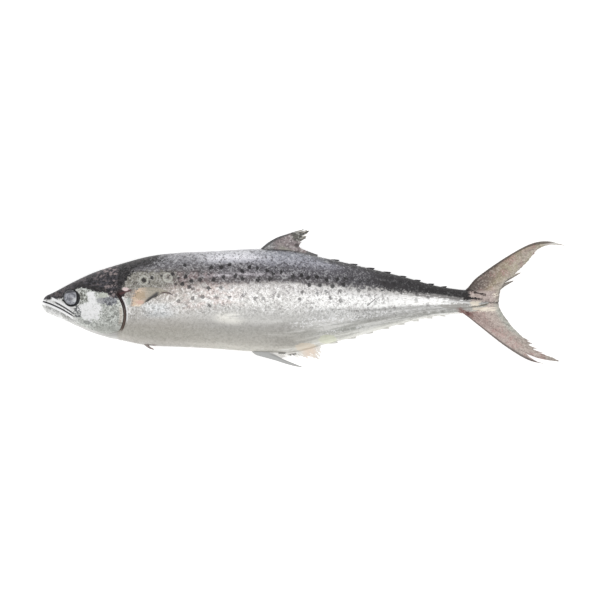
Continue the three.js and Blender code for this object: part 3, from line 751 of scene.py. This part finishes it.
# %% The whole skin
def skin_finish():
    """All the layers in turn: silver flank, dark back, flecks, nape, streaks, spots, tail, head."""
    p = Paint("wet_mackerel_skin", Coat_Roughness=0.14, Coat_IOR=1.4, Specular_IOR_Level=0.4)
    x, y, z = p.place()
    rise, border, nape, line, gill = [p.fact(k) for k in ("rise", "border", "nape", "line", "gill")]
    grain, mottle = p.noise(p.here, 0.3, 3, 0.7), p.noise(p.here, 0.16, 4, 0.7)
    cells = p.flecks(0.62) * 0.55 + p.flecks(0.31) * 0.45
    blotch = p.noise(p.vector(x * 0.7, y, z * 0.3), 0.11)
    streaks = p.noise(p.vector(x / 80, rise * 8), 1, 3, 0.6)
    grit, jag, lump = grain - 0.5, cells - 0.5, mottle - 0.5

    flank_colours(p, x, rise, streaks)
    p.lay(x.band(160, 200, 14) * y.band(-26, -6, 5) * 0.7, (204, 208, 210))
    p.lay(x.band(205, 300, 30) * border.band(-36, 4, 8) * blotch.step(0.42, 0.6) * 0.5, ROSE)
    uneven = (blotch - 0.5) * 10 + jag * 9 + lump * 22
    ragged = border + uneven * x.step(530, 600, 1, 0.3)
    p.lay(ragged.step(-2.5, 2.5), back_colours(p, x, border))
    green = p.mix(mottle.step(0.5, 0.6) * 0.35, MOSS, (112, 106, 102))
    moss = (x + lump * 60).band(118, 204, 14) * border.band(-2, 60, 3)
    p.lay(moss * (line + jag * 4 + lump * 16).step(3, -2), green)
    ruddy = x.band(196, 262, 14) * border.band(-2, 20, 4) * blotch.step(0.4, 0.6)
    p.lay(ruddy * 0.6, (128, 104, 104))
    ridge_front, ridge_rear = rise.step(0.95, 0.99), rise.step(0.84, 0.95)
    p.lay((x.step(395, 440) * ridge_rear).greater(x.step(330, 345) * ridge_front) * 0.9, SPOT)

    # Crisp flecks of dark and light: strong on the back, softer on the flank, where grey smudges
    # and blots lie between them
    busy = ragged.step(-4, 4, 0.3, 0.6) * border.band(-46, 90, 8) + 0.18
    calm = x.step(500, 580, 1, 0.35)
    p.lay(mottle.step(0.5, 0.38) * border.band(-40, -2, 9) * calm * 0.6, (156, 152, 150))
    blots = mottle.step(0.51, 0.56) * x.band(225, 470, 20) * border.band(-27, -3, 4)
    p.lay(blots * 0.5, (118, 111, 113))
    p.lay(cells.step(0.5, 0.1) * busy * calm, SHADE)
    bright = ragged.step(-4, 4, 0.45, 0.28) * x.step(430, 540, 1, 0.25)
    p.lay(cells.step(0.5, 0.9) * bright * border.step(-54, -38, 0.25, 1), WHITE)

    # The dark nape and shoulder end in a mottled slope
    shoulder = p.mix(cells.step(0.3, 0.8), (12, 11, 13), (64, 62, 64))
    shoulder = p.mix(mottle.step(0.5, 0.64) * 0.5, shoulder, (84, 78, 78))
    nape_end = (x - (y - 50) * 0.9 + jag * 22 + lump * 70).step(188, 158)
    p.lay((nape + jag * 10 + lump * 34).step(-3, 3) * nape_end, shoulder)
    slope = (x - y * 0.76 + jag * 9 + lump * 44).step(111, 103)
    p.lay(slope * y.step(13, 19) * x.step(116, 120), shoulder)

    # Streaks: a grey fringe and lines along the tail's stalk, and bright glints along the belly
    drawn = p.noise(p.vector(x / 7, y / 1.5), 1, 3, 0.6)
    fringe = border.band(-5, 0.5, 1.8) * x.step(520, 590) * drawn.step(0.34, 0.5)
    p.lay(fringe * 0.9, (112, 109, 108))
    stalk = x.step(500, 580) * ragged.step(0, -3)
    p.lay(drawn.step(0.54, 0.64) * stalk * 0.5, PEWTER)
    p.lay(drawn.step(0.44, 0.36) * stalk * 0.6, WHITE)
    upper_glint = rise.band(-0.56, -0.36, 0.05) * x.band(385, 530, 25)
    lower_glint = rise.band(-0.79, -0.7, 0.04) * x.band(425, 500, 20)
    p.lay(upper_glint.greater(lower_glint) * grain.step(0.52, 0.6) * 0.8, WHITE)

    # Spots, the pale rings round two of them, the lateral line and a scratch
    for at_x, at_y in RINGED:
        ring = (apart(x, y, at_x, at_y) + jag * 2).band(4.8, 7.2, 0.9)
        p.lay(ring * 0.8, (192, 192, 184))
    p.lay((p.fact("spot") + jag * 2 + grit * 3).step(1, -1) * p.fact("spot_dark"), SPOT)
    p.lay(rear_spots(p, x, border, grain), SPOT)
    lateral = abs(line).step(1.4, 0.5) * x.band(136, 420, 12)
    p.lay(lateral * grain.step(0.36, 0.5) * 0.55, SHADE)
    p.lay(stroke(x, y, 496, -9, 0.857, 0.5, 1.3, 496, 510, 1) * 0.75, SHADE)

    # Tan and green tints by the anal fin, a red mark by the pelvic fins, the tail and the head
    p.lay(oval(x, y, 403, -72, 16, 7, grit * 0.7) * 0.8, (216, 204, 186))
    p.lay(oval(x, y, 436, -60, 14, 7, grit * 0.7) * 0.6, (210, 213, 186))
    p.lay(round_spot(x, y, 172, -71, 3, 2) * 0.8, BLOOD)
    tail_root_marks(p, x, y, cells)
    head_colours(p, x, y, border, gill, grain, cells, mottle)
    jaw_lines(p, x, y, cells)
    # Painted shadow of the eye socket: a dark ring round the eye, set a little low and tailwards
    p.lay(apart(x, y, EYE_X + 0.5, EYE_Y - 1).step(13.8, 12.6), (22, 23, 27))
    p.lay(stroke(x, y, 31.5, 0.3, -0.75, 1, 2.2, 31, 40, 1), (22, 23, 27))

    dull = ragged.step(-3, 3) * x.step(170, 220, 0.75, 0).greater(x.step(380, 450, 0, 0.75))
    return p.finish(
        grain + streaks * 0.3, 0.0007, 0.5,
        Metallic=ragged.step(-3, 5, 0.4, 0.12) + grit * 0.3,
        Coat_Weight=blotch.step(0.3, 0.7, 0.25, 0.7) * (1 - dull),
        Roughness=grain * 0.25 + 0.2 + blotch * 0.1 + dull * 0.25,
    )


skin.data.materials.append(skin_finish())

# %% [markdown]
# ## The eyes
#
# A fish's eye is a flat dome of clear jelly over a wide pupil with a thin silver iris. In a fish
# that has been out of the water for a while the pupil clouds over. The dome is a surface of
# revolution: rings whose height falls off as a circle does, closed underneath by a shallow bowl.

# %% Both eyeballs
EYE_RADIUS, EYE_HEIGHT, EYE_TILT = 11.9, 3.4, 0.12
EYE_ROWS, EYE_TURNS = 28, 64


def eye_dome(side):
    """Rings round the eye's axis. From the pole outwards the height is a flattened circle, and it
    turns under at the rim to a pole inside the head."""
    latitudes = np.linspace(0.04, 0.96, EYE_ROWS) * np.pi
    turns = np.linspace(0, 2 * np.pi, EYE_TURNS + 1)[:-1]
    latitude, turn = np.meshgrid(latitudes, turns, indexing="ij")
    radius = EYE_RADIUS * np.sin(latitude) ** 0.9
    height = EYE_HEIGHT * np.sign(np.cos(latitude)) * np.abs(np.cos(latitude)) ** 1.2
    x = EYE_X + radius * np.cos(turn)
    y = EYE_Y + side * radius * np.sin(turn)
    seat = middle(np.array(EYE_X)) + side * (flank(np.array(EYE_X), np.array(EYE_Y)) - 1.6)
    tilt = side * EYE_TILT * ((x - EYE_X) - (y - EYE_Y))
    rings = np.stack([x, y, seat + side * height + tilt], -1)
    poles = np.array([[EYE_X, EYE_Y, seat + way * EYE_HEIGHT] for way in (side, -side)])
    return rings, poles


def eye_finish():
    """A clouded grey lens with a small dark pupil, a broken dark ring and a dark upper rim, a pale
    spot and arc low on its tail side that are a painted highlight, and a dark outer edge that is
    painted shadow of the socket.
    """
    p = Paint("clouded_eye", Coat_Roughness=0.03, Coat_IOR=1.4, Coat_Weight=1.0)
    x, y, z = p.place()
    out = apart(x, y, EYE_X, EYE_Y)
    veil, cells = p.noise(p.here, 0.35, 3), p.flecks(0.4)
    p.colour = p.mix(cells.step(0.1, 0.9), (112, 114, 122), (160, 162, 169))
    p.lay(out.band(5, 6.4, 0.7) * veil.step(0.44, 0.54) * 0.8, (72, 73, 82))
    p.lay(apart(x, y, EYE_X - 0.6, EYE_Y - 2.4).step(3.4, 1.6) * 0.8, (58, 60, 70))
    # Painted highlight: a pale spot and a pale arc low on the eye's tail side
    p.lay(round_spot(x, y, EYE_X + 6, EYE_Y - 4, 3.2, 1.6) * 0.6, (196, 200, 200))
    shine = out.band(7.4, 9, 0.7) * (x - y).step(38, 44) * veil.step(0.4, 0.5)
    p.lay(shine * 0.7, (196, 199, 203))
    lid = (y - EYE_Y - (x - EYE_X) * 0.1 + (cells - 0.5) * 2).step(6.5, 8.5)
    p.lay(lid * 0.9, (38, 40, 48))
    # Painted shadow of the socket round the eye's outer edge
    p.lay(out.step(10.3, 11.3), (26, 27, 30))
    return p.finish(Roughness=veil * 0.2 + 0.12)


clouded = eye_finish()
SIDES = ((1, "left"), (-1, "right"))
for side, label in SIDES:
    rings, poles = eye_dome(side)
    places = np.vstack([rings.reshape(-1, 3), poles])
    faces = ring_faces(EYE_ROWS, EYE_TURNS)
    eyeball = finish_piece(f"eyeball_{label}", places, faces, {}, [f"eye_{label}"])
    eyeball.data.materials.append(clouded)

# %% [markdown]
# ## The fins
#
# A fin is a thin skin over a fan of rays. Each ray runs from the root to the margin and bends as
# the leading ray does, less and less towards the last one. The sheet is a function of two shares,
# t across the rays and s out along them, with a low ridge for each ray, and the margin is frayed
# by giving each ray its own length. Solidifying a flat shape wouldn't give the rays, so both faces
# are made at once.

# %% Rays, sheets and frayed margins
def ray_bend(ray):
    """How a ray bends: its way along its chord and to the left of it, as shares of the chord."""
    start, end = ray(0.0), ray(1.0)
    chord = end - start
    length2 = chord @ chord

    def bend(s):
        spot = ray(np.clip(s, 0, 1)) - start
        over = np.maximum(s - 1, 0)
        aside = chord[0] * spot[..., 1] - chord[1] * spot[..., 0]
        return (spot @ chord) / length2 + over, aside / length2

    return bend


def fin_sheet(shape, t, s):
    """Places in the side view: a ray's chord from root to margin, turned and scaled so that the
    ray bends as the first one does at t 0 and as the last one at t 1. The share of the last one's
    bend is t to the power 0.6, which grows fastest beside the first ray, so no two rays cross."""
    root, margin = curve_through(shape["root"]), curve_through(shape["margin"])
    (a0, b0), (a1, b1) = (ray_bend(curve_through(shape[k]))(s) for k in ("lead", "last"))
    start = root(t)
    chord = margin(t) - start
    share = t**0.6
    along_, aside = a0 * (1 - share) + a1 * share, b0 * (1 - share) + b1 * share
    x = start[..., 0] + chord[..., 0] * along_ - chord[..., 1] * aside
    y = start[..., 1] + chord[..., 1] * along_ + chord[..., 0] * aside
    return x, y


def fin_piece(name, shape, height, length, thick, nodes, fine=6, rows=26):
    """A closed fin: two faces either side of the sheet's height, thicker along each ray and
    thinner towards the margin. length gives each ray's own length as a share."""
    columns = fine * shape["rays"] + 1
    t, s = np.meshgrid(np.linspace(0, 1, columns), np.linspace(0, 1, rows), indexing="ij")
    reach = s * length(t)
    x, y = fin_sheet(shape, t, reach)
    ray = 0.5 + 0.5 * np.cos(2 * np.pi * t * shape["rays"])
    half = thick * (1 - 0.55 * s) * (0.82 + 0.18 * ray) / 2
    half = half * (1 - 0.75 * step(s, 0.85, 1.0))
    z = height(x, y, t, reach)
    grid = np.stack([np.stack([x, y, z + half], -1), np.stack([x, y, z - half], -1)])
    across = np.gradient(np.stack([x, y], -1), axis=0)[columns // 2, rows // 2]
    outward = np.gradient(np.stack([x, y], -1), axis=1)[columns // 2, rows // 2]
    if across[0] * outward[1] - across[1] * outward[0] < 0:
        grid = grid[::-1]
    facts = {"across": np.tile(t.ravel(), 2), "outward": np.tile(reach.ravel(), 2)}
    return finish_piece(name, grid.reshape(-1, 3), sheet_faces(columns, rows), facts, nodes)


def frayed(rays, ragged, notches=(), seed=1):
    """Each ray's length: 1 less a random share, with a soft dip between rays, and a deep narrow
    notch wherever the fin is torn. A notch is its place, its depth and its width."""
    draw = np.random.default_rng(seed).uniform(-1, 1, rays + 1)

    def length(t):
        own = 1 + ragged * np.interp(t * rays, np.arange(rays + 1), draw)
        dip = ragged * 0.8 * (0.5 - 0.5 * np.cos(2 * np.pi * t * rays))
        tear = sum(depth * ridge(t - place, width) for place, depth, width in notches) if notches else 0
        return own - dip - tear

    return length


# %% [markdown]
# ### The fins' finish
#
# Fin skin is thin. The leading rays are dark and thick, the rays show as fine pale and dark lines,
# and the frayed margin has a tone of its own. The pelvic fins and the finlets share one finish,
# and only their tones change. The larger fins get finishes of their own further on.

# %% Fin material
def fin_paint(name, *, roughness, coat, shine):
    """A new fin material, and what all fins read: the place and the two shares of the sheet."""
    p = Paint(name, Coat_Roughness=roughness, Coat_Weight=coat, Specular_IOR_Level=shine)
    x, y, z = p.place()
    return p, x, y, p.fact("across"), p.fact("outward")


def fin_finish(name, rays, root, web, margin, lead):
    """Root colour, then web, then margin along the rays, with a dark leading ray and specks."""
    p, x, y, across, outward = fin_paint(name, roughness=0.2, coat=0.35, shine=0.4)
    grain = p.noise(p.here, 0.35, 4, 0.6)
    fibre = p.noise(p.vector(across * (rays * 2.2), outward * 3), 1, 3, 0.6)
    wave = p.node("ShaderNodeMath", {"operation": "COSINE"}, across * (2 * np.pi * rays))
    p.colour = p.mix(outward.step(0.02, 0.45), root, web)
    p.lay(outward.step(0.72, 1) * 0.75, margin)
    p.lay(wave.step(-0.2, 1) * 0.25, root)
    p.lay(fibre.step(0.52, 0.72) * 0.35, web)
    p.lay(across.step(0.05, 0.1, 1, 0) * 0.8, lead)
    p.lay(grain.step(0.48, 0.36) * 0.3, lead)
    return p.finish(wave * 0.5 + grain * 0.6, Roughness=grain * 0.3 + 0.3)


# %% The tail fin's outline
TAIL = {
    "root": [[640, 11], [650, 6], [650, -7], [634, -14]],
    "lead": [[640, 11], [650, 18.5], [665, 35], [706.9, 64.3], [745.8, 85.5], [773.8, 89.6], [800, 83]],
    "margin": [
        [800, 83], [778, 84.2], [761, 79.5], [748.6, 67.5], [739, 56], [727.7, 45.5], [707, 29],
        [699.8, 18], [697.5, 0], [699, -12.3], [707, -26.3], [718, -40.2], [730.5, -52.7],
        [746, -64], [768, -79], [793, -90.4], [771, -98]],
    "last": [[634, -14], [650, -25.5], [667, -39], [706, -69.5], [742, -91.4], [771, -98]],
    "rays": 46,
}


def tail_height(x, y, t, s):
    """The tail droops from the stalk's middle to the table, with a slight wave across."""
    out = np.clip((x - 650) / 150, 0, 1)
    return 11 - 8 * out**1.2 + 1.1 * np.sin(y / 22) * out


# Where the rays end, as shares of their full length: long and short ones by turns beside the
# fork, and a slit before the lower lobe's leading bundle of rays
TAIL_SHARE = [
    0, 0.3, 0.335, 0.366, 0.376, 0.391, 0.404, 0.412, 0.425, 0.46, 0.66, 0.712, 0.729, 0.745, 0.761,
    0.785, 0.8, 0.81, 0.825, 0.84, 0.858, 0.873, 0.905, 0.943, 0.949, 0.955, 0.975, 0.986, 1]
TAIL_LENGTH = [
    1, 1, 1.1, 1.42, 1.3, 1.06, 1.46, 1.15, 1.02, 1, 1, 0.965, 1.04, 0.95, 0.985,
    0.89, 0.9, 0.96, 0.88, 0.875, 0.95, 0.86, 0.9, 1.02, 0.84, 0.72, 0.83, 0.89, 1]


def tail_lengths(t):
    """The rays' own small differences, and on top of them the long and short rays listed above."""
    return frayed(46, 0.014, (), 4)(t) + np.interp(t, TAIL_SHARE, TAIL_LENGTH) - 1


tail = fin_piece("tail_fin_skin", TAIL, tail_height, tail_lengths, 3.0, ["tail_fin"], fine=6, rows=44)


def tail_finish():
    """Taupe and olive above, dusky pink below, dark leading edges, and fine rays all over."""
    p, x, y, across, outward = fin_paint("tail_fin_finish", roughness=0.25, coat=0.3, shine=0.35)
    grain, cloud = p.noise(p.here, 0.36, 3, 0.65), p.noise(p.here, 0.07, 2)
    cells = p.flecks(0.65) * 0.6 + p.flecks(0.34) * 0.4
    fibre = p.noise(p.vector(across * 70, outward * 3), 1, 3, 0.65)
    upper = p.ramp(
        outward, (0, (52, 44, 42)), (0.2, (84, 72, 66)), (0.38, (120, 105, 94)),
        (0.6, (152, 136, 114)), (0.8, (168, 154, 138)), (1, (176, 168, 156)))
    lower = p.ramp(
        outward, (0, (128, 98, 94)), (0.2, (172, 150, 144)), (0.5, (186, 170, 162)),
        (0.8, (176, 164, 155)), (1, (146, 138, 130)))
    p.colour = p.mix(across.step(0.42, 0.5), upper, lower)
    olive = across.step(0.4, 0.3) * cloud.step(0.45, 0.6) * outward.step(0.4, 0.7) * 0.6
    p.lay(olive, (172, 164, 138))
    p.lay(cloud.step(0.5, 0.36) * grain.step(0.4, 0.6) * 0.6, (180, 136, 132))
    p.lay(across.band(0.5, 0.7, 0.05) * outward.step(0.7, 0.9) * 0.7, (184, 190, 180))
    p.lay(outward.step(0, 0.3, 0.5, 0.2) * fibre.step(0.54, 0.68), (206, 192, 182))
    p.lay(fibre.step(0.46, 0.34) * 0.45, (100, 87, 81))
    p.lay(cells.step(0.5, 0.1) * 0.4, (84, 72, 68))
    p.lay(cells.step(0.5, 0.9) * 0.35, (222, 212, 204))
    edge = across.step(0.06, 0.03).greater(across.step(0.972, 0.99)) * outward.step(0.98, 0.85)
    p.lay(edge * 0.8, (74, 66, 62))
    p.lay(outward.step(0.965, 0.985) * across.band(0.42, 0.6, 0.03) * 0.7, (84, 78, 74))
    tip = across.step(0.1, 0.04) * outward.step(0.86, 0.94)
    p.lay(tip * outward.step(0.965, 0.95) * 0.9, (222, 220, 216))
    p.lay(across.band(0.36, 0.42, 0.008) * outward.step(1.02, 1.06) * 0.7, (86, 78, 72))
    tail_root_marks(p, x, y, cells)
    return p.finish(fibre * 0.6 + grain * 0.5, Roughness=grain * 0.3 + 0.3)


tail.data.materials.append(tail_finish())

# %% [markdown]
# ### Fins on the back and the belly
#
# The second dorsal fin is a swept triangle with a torn tip. The anal fin below it is pale, with
# one long front strip and a fringed rear part. Their roots run along the body's own edge, sunk a
# little into it, so no gap shows.

# %% Second dorsal fin and anal fin
def standing(begin, end, edge, way, lead, margin, rays, sunk=2.5):
    """A fin's outline whose root follows the back or the belly line, sunk into the flesh."""
    run = np.linspace(begin, end, 6)
    root = np.stack([run, edge(run) - way * sunk], -1).tolist()
    lead, margin = [root[0], *lead], [lead[-1], *margin]
    return {"root": root, "lead": lead, "margin": margin, "last": [root[-1], margin[-1]], "rays": rays}


def on_middle(x, y, t, s):
    """The height of a fin that stands in the body's own middle sheet."""
    return middle(np.clip(x, 0, FLESH_END))


dorsal_shape = standing(
    331, 420, back, 1,
    [[345, 87.2], [358.8, 95.2], [372.5, 99.9], [386.3, 104.5], [398.5, 107.6]],
    [[407.6, 103.8], [402, 94], [393, 84], [396, 79], [408, 73.8], [421, 69]],
    16,
)
dorsal_tears = [(0.055, 0.15, 0.014), (0.2, 0.13, 0.018), (0.38, 0.1, 0.03)]
dorsal = fin_piece(
    "second_dorsal_fin_skin", dorsal_shape, on_middle, frayed(16, 0.04, dorsal_tears, 7), 2.2,
    ["second_dorsal_fin"], fine=8)


def dorsal_finish():
    """Grey in front, a pinkish middle, and a torn olive tip with cream gaps between black rays."""
    p, x, y, across, outward = fin_paint("dorsal_fin_finish", roughness=0.2, coat=0.35, shine=0.4)
    grain, cells = p.noise(p.here, 0.35, 4, 0.6), p.flecks(0.4)
    fibre = p.noise(p.vector(across * 30, outward * 2.5), 1, 3, 0.6)
    p.colour = p.mix(x.step(348, 362), (124, 126, 127), (136, 123, 124))
    p.lay(grain.step(0.42, 0.6) * 0.5, (106, 90, 90))
    tip = (x + (y - 92) * 0.5).step(380, 388) * y.step(88, 92)
    p.lay(tip, p.mix(fibre.step(0.44, 0.56), (34, 32, 24), (84, 82, 68)))
    p.lay(tip * outward.step(0.82, 0.95) * fibre.step(0.48, 0.56), CREAM)
    p.lay(cells.step(0.5, 0) * 0.5, SHADE)
    p.lay(cells.step(0.5, 1) * 0.3, MILK)
    p.lay(round_spot(x, y, 389, 83.5, 3.6, 1.6) * 0.9, (44, 30, 28))
    p.lay(x.band(362, 388, 4) * outward.step(0.35, 0.15) * 0.5, (166, 166, 150))
    p.lay(across.step(0.07, 0.035) * outward.step(0.8, 0.6) * 0.9, (42, 41, 42))
    p.lay(across.step(0.72, 0.8) * 0.75, (72, 76, 76))
    return p.finish(fibre * 0.6 + grain * 0.5, Roughness=grain * 0.3 + 0.3)


dorsal.data.materials.append(dorsal_finish())

anal_shape = standing(
    318, 424, belly, -1,
    [[326, -83.3], [340, -87.5], [356, -92], [372, -97.2], [388, -101.3], [405, -103.4]],
    [[395, -100.6], [383, -96], [372, -91.6], [366, -88.4], [376, -87.5], [388, -88.5], [400, -91],
     [414, -95], [428, -97.5], [431, -86], [427, -74]],
    16,
)
anal = fin_piece(
    "anal_fin_skin", anal_shape, on_middle, frayed(16, 0.03, (), 3), 2.0,
    ["anal_fin"], fine=8)


def anal_finish():
    """A grey front strip with a dark upper line and two dark strokes of painted shadow where the
    body's edge lies over it, then a pale, thin part with a peach patch that fades out at its fringe."""
    p, x, y, across, outward = fin_paint("anal_fin_finish", roughness=0.25, coat=0.3, shine=0.35)
    grain = p.noise(p.here, 0.4, 3, 0.65)
    fibre = p.noise(p.vector(across * 40, outward * 2), 1, 3, 0.6)
    p.colour = p.mix(grain.step(0.35, 0.65), (214, 212, 206), (240, 239, 236))
    p.lay(round_spot(x, y, 409, -80, 11, 8) * 0.8, (230, 211, 192))
    p.lay(across.step(0.32, 0.2), (176, 177, 176))
    p.lay(across.band(0.17, 0.26, 0.03) * outward.step(0.1, 0.4) * 0.6, (128, 128, 128))
    # Painted shadow: two dark strokes on the front strip, under the body's edge
    first = stroke(x, y, 361, -80.6, 0, 0.8, 1.9, 361, 372, 1.5)
    second = stroke(x, y, 376, -84, 0.15, 0.8, 1.9, 376, 388, 1.5)
    p.lay(first.greater(second) * 0.9, (66, 62, 54))
    p.lay(fibre.step(0.46, 0.32) * 0.4, (190, 176, 168))
    shred = (outward + (fibre - 0.5) * 1.8 + (grain - 0.5) * 0.6).step(0.42, 0.62)
    return p.finish(
        fibre * 0.6 + grain * 0.5, strength=0.5,
        Roughness=grain * 0.3 + 0.35,
        Alpha=1 - across.step(0.32, 0.42) * shred * 0.95,
    )


anal.data.materials.append(anal_finish())

# %% The pectoral fins
PECTORAL = {
    "root": [[130, 14], [131, 3], [133, -9.5]],
    "lead": [[130, 14], [148, 17.5], [163, 19.5], [180, 18], [191, 14], [201.4, 7.3]],
    "margin": [[201.4, 7.3], [187, 10.5], [174, 4.5], [162, -2.6], [150, -10]],
    "last": [[133, -9.5], [150, -10]],
    "rays": 14,
}


def lying_on(side):
    """The fin lies along the flank: sunk at its root, and just clear of the skin further out."""
    def height(x, y, t, s):
        lift = -1.2 + 2.9 * step(s, 0.0, 0.35)
        return np.maximum(middle(x) + side * (flank(x, y) + lift), 0.7)

    return height


def pectoral_finish():
    """Peach flesh at the root, olive-grey rays beyond it, and a dark lower edge and tip."""
    p, x, y, across, outward = fin_paint("pectoral_fin_finish", roughness=0.2, coat=0.4, shine=0.35)
    grain, cells = p.noise(p.here, 0.4, 3, 0.65), p.flecks(0.5)
    fibre = p.noise(p.vector(across * 34, outward * 2.5), 1, 3, 0.6)
    p.colour = p.mix(grain.step(0.35, 0.62), (140, 136, 124), (168, 160, 146))
    flesh = p.mix(grain.step(0.35, 0.6), PEACH, (216, 192, 168))
    p.lay((x - fibre * 12).step(160, 140), flesh)
    p.lay(fibre.step(0.46, 0.34) * 0.6, (112, 104, 94))
    p.lay(fibre.step(0.56, 0.68) * 0.5, (206, 196, 182))
    ragged = (grain - 0.5) * 2.4 + (cells - 0.5) * 0.7
    p.lay(oval(x, y, 151, 6.5, 8, 6, ragged) * 0.7, (166, 146, 118))
    p.lay(oval(x, y, 151, -3.5, 5.5, 3, ragged) * 0.8, (208, 172, 156))
    p.lay(oval(x, y, 154, -10, 12, 3, ragged) * 0.8, CREAM)
    p.lay(outward.step(0.76, 0.9) * x.band(159, 179, 3), (34, 31, 29))
    p.lay(outward.step(0.84, 0.93) * x.step(180, 188), (78, 58, 57))
    return p.finish(
        fibre * 0.7 + grain * 0.4,
        Roughness=grain * 0.3 + 0.3,
        Alpha=(outward + (grain - 0.5) * 0.7 + (fibre - 0.5) * 0.5).step(0.2, 0.27),
    )


root_to_tip = pectoral_finish()
for side, label in SIDES:
    wing = fin_piece(
        f"pectoral_fin_skin_{label}", PECTORAL, lying_on(side), frayed(14, 0.03, (), 9), 1.6,
        [f"pectoral_fin_{label}"], fine=8)
    wing.data.materials.append(root_to_tip)

# %% The pelvic fins
pelvic_shape = standing(153, 162, belly, -1, [[163, -73], [172, -76.2]], [[170, -73.8], [165, -71.5]], 6)
pelvic_finish = fin_finish(
    "pelvic_fin_finish", 6, (206, 196, 190), (150, 138, 134), (170, 120, 112), (90, 84, 84))
for side, label in SIDES:
    beside = lambda x, y, t, s: middle(x) + side * 5
    small = fin_piece(
        f"pelvic_fin_skin_{label}", pelvic_shape, beside, frayed(6, 0.03, (), 2), 1.4,
        [f"pelvic_fin_{label}"], fine=6, rows=14)
    small.data.materials.append(pelvic_finish)

# %% [markdown]
# ### The finlets
#
# Between the last fins and the tail, a mackerel has two rows of tiny sails on the edges of its
# back and belly. They share one formula and only change in place and size.

# %% Two rows of finlets
def finlet_shape(start, length, edge, way):
    """A low swept sail that rises slowly from its front and drops steeply at its rear."""

    def tall(share, height):
        x = start + share * length
        return [x, float(edge(np.array(x))) + way * height]

    lead = [tall(0.45, 1.2), tall(0.8, 2.2), tall(1.0, 2.7)]
    margin = [tall(0.94, 1.2), tall(0.86, 0.2)]
    return standing(start, start + 0.84 * length, edge, way, lead, margin, 5, sunk=1.2)


finlet_tones = {
    "dorsal": fin_finish(
        "dorsal_finlet_finish", 5, (40, 38, 40), (52, 50, 53), (62, 60, 62), (34, 32, 34)),
    "anal": fin_finish(
        "anal_finlet_finish", 5, (226, 224, 218), (238, 237, 232), (244, 243, 239), (206, 205, 199)),
}
FINLETS, FIRST_GAP, GAP_LOSS = 8, 28.5, 1.4
for label, edge, start, way in (("dorsal", back, 436.0, 1), ("anal", belly, 434.0, -1)):
    for k in range(FINLETS):
        spacing = FIRST_GAP - GAP_LOSS * k
        shape = finlet_shape(start, 0.66 * spacing, edge, way)
        sail = fin_piece(
            f"{label}_finlet_sail_{k + 1}", shape, on_middle, frayed(5, 0.04, (), k), 1.6,
            [f"{label}_finlet_{k + 1}"], fine=4, rows=8)
        sail.data.materials.append(finlet_tones[label])
        start += spacing

# %% [markdown]
# ## Floor, light and camera
#
# The fish was photographed from straight above on white. A wide pale floor, a bright even sky and
# one broad soft light towards the back give the same look: hardly a shadow, and a soft sheen
# along the shoulder, which the back's colours also carry as a painted highlight.

# %% Floor
FLOOR = 6  # metres from its middle to each side
corners = [(-FLOOR, -FLOOR, 0), (FLOOR, -FLOOR, 0), (FLOOR, FLOOR, 0), (-FLOOR, FLOOR, 0)]
floor_mesh = bpy.data.meshes.new("floor")
floor_mesh.from_pydata(corners, [], [(0, 1, 2, 3)])
floor = bpy.data.objects.new("floor", floor_mesh)
floor.location.z = -0.0005  # just under the fish, so that the two faces don't flicker
bpy.context.collection.objects.link(floor)
white = (1, 1, 1, 1)
floor_paint = Paint(
    "white_floor", Base_Color=tone(248, 248, 248), Roughness=0.9, Specular_IOR_Level=0,
    Emission_Color=white, Emission_Strength=0.45)
floor.data.materials.append(floor_paint.material)

# %% Light
world = bpy.data.worlds.new("soft sky")
world.use_nodes = True
sky = world.node_tree.nodes["Background"]
sky.inputs["Color"].default_value = white
sky.inputs["Strength"].default_value = 0.62
bpy.context.scene.world = world


def soft_box(name, place, aim, width, depth, power):
    """A soft lamp of some width and depth in metres, turned from its place towards its aim."""
    lamp = bpy.data.lights.new(name, "AREA")
    lamp.shape, lamp.size, lamp.size_y, lamp.energy = "RECTANGLE", width, depth, power
    holder = bpy.data.objects.new(name, lamp)
    holder.location = place
    holder.rotation_euler = (Vector(aim) - Vector(place)).to_track_quat("-Z", "Y").to_euler()
    bpy.context.collection.objects.link(holder)


soft_box("overhead", (0.0, 0.02, 1.6), (0, 0, 0), 1.8, 0.8, 11)
soft_box("back_window", (-0.05, 1.3, 0.4), (-0.05, 0, 0.05), 0.9, 0.4, 2)

# %% Camera
PIXEL = 1.5267  # millimetres on the fish for each pixel of a picture 600 wide
SENSOR, ABOVE = 36, 12.0  # the sensor's width in millimetres, the camera's height in metres
centre = to_frame([(300 - 42) * PIXEL, 0, 14])  # the snout is 42 pixels from the left edge
lens = bpy.data.cameras.new("camera")
lens.sensor_width = SENSOR
lens.lens = SENSOR * ABOVE / (600 * PIXEL / 1000)
lens.clip_end = 50
camera = bpy.data.objects.new("camera", lens)
camera.location = (centre[0], centre[1], centre[2] + ABOVE)
bpy.context.collection.objects.link(camera)
bpy.context.scene.camera = camera
bpy.context.scene.view_settings.view_transform = "Standard"
print("lens", round(lens.lens, 1), "mm")
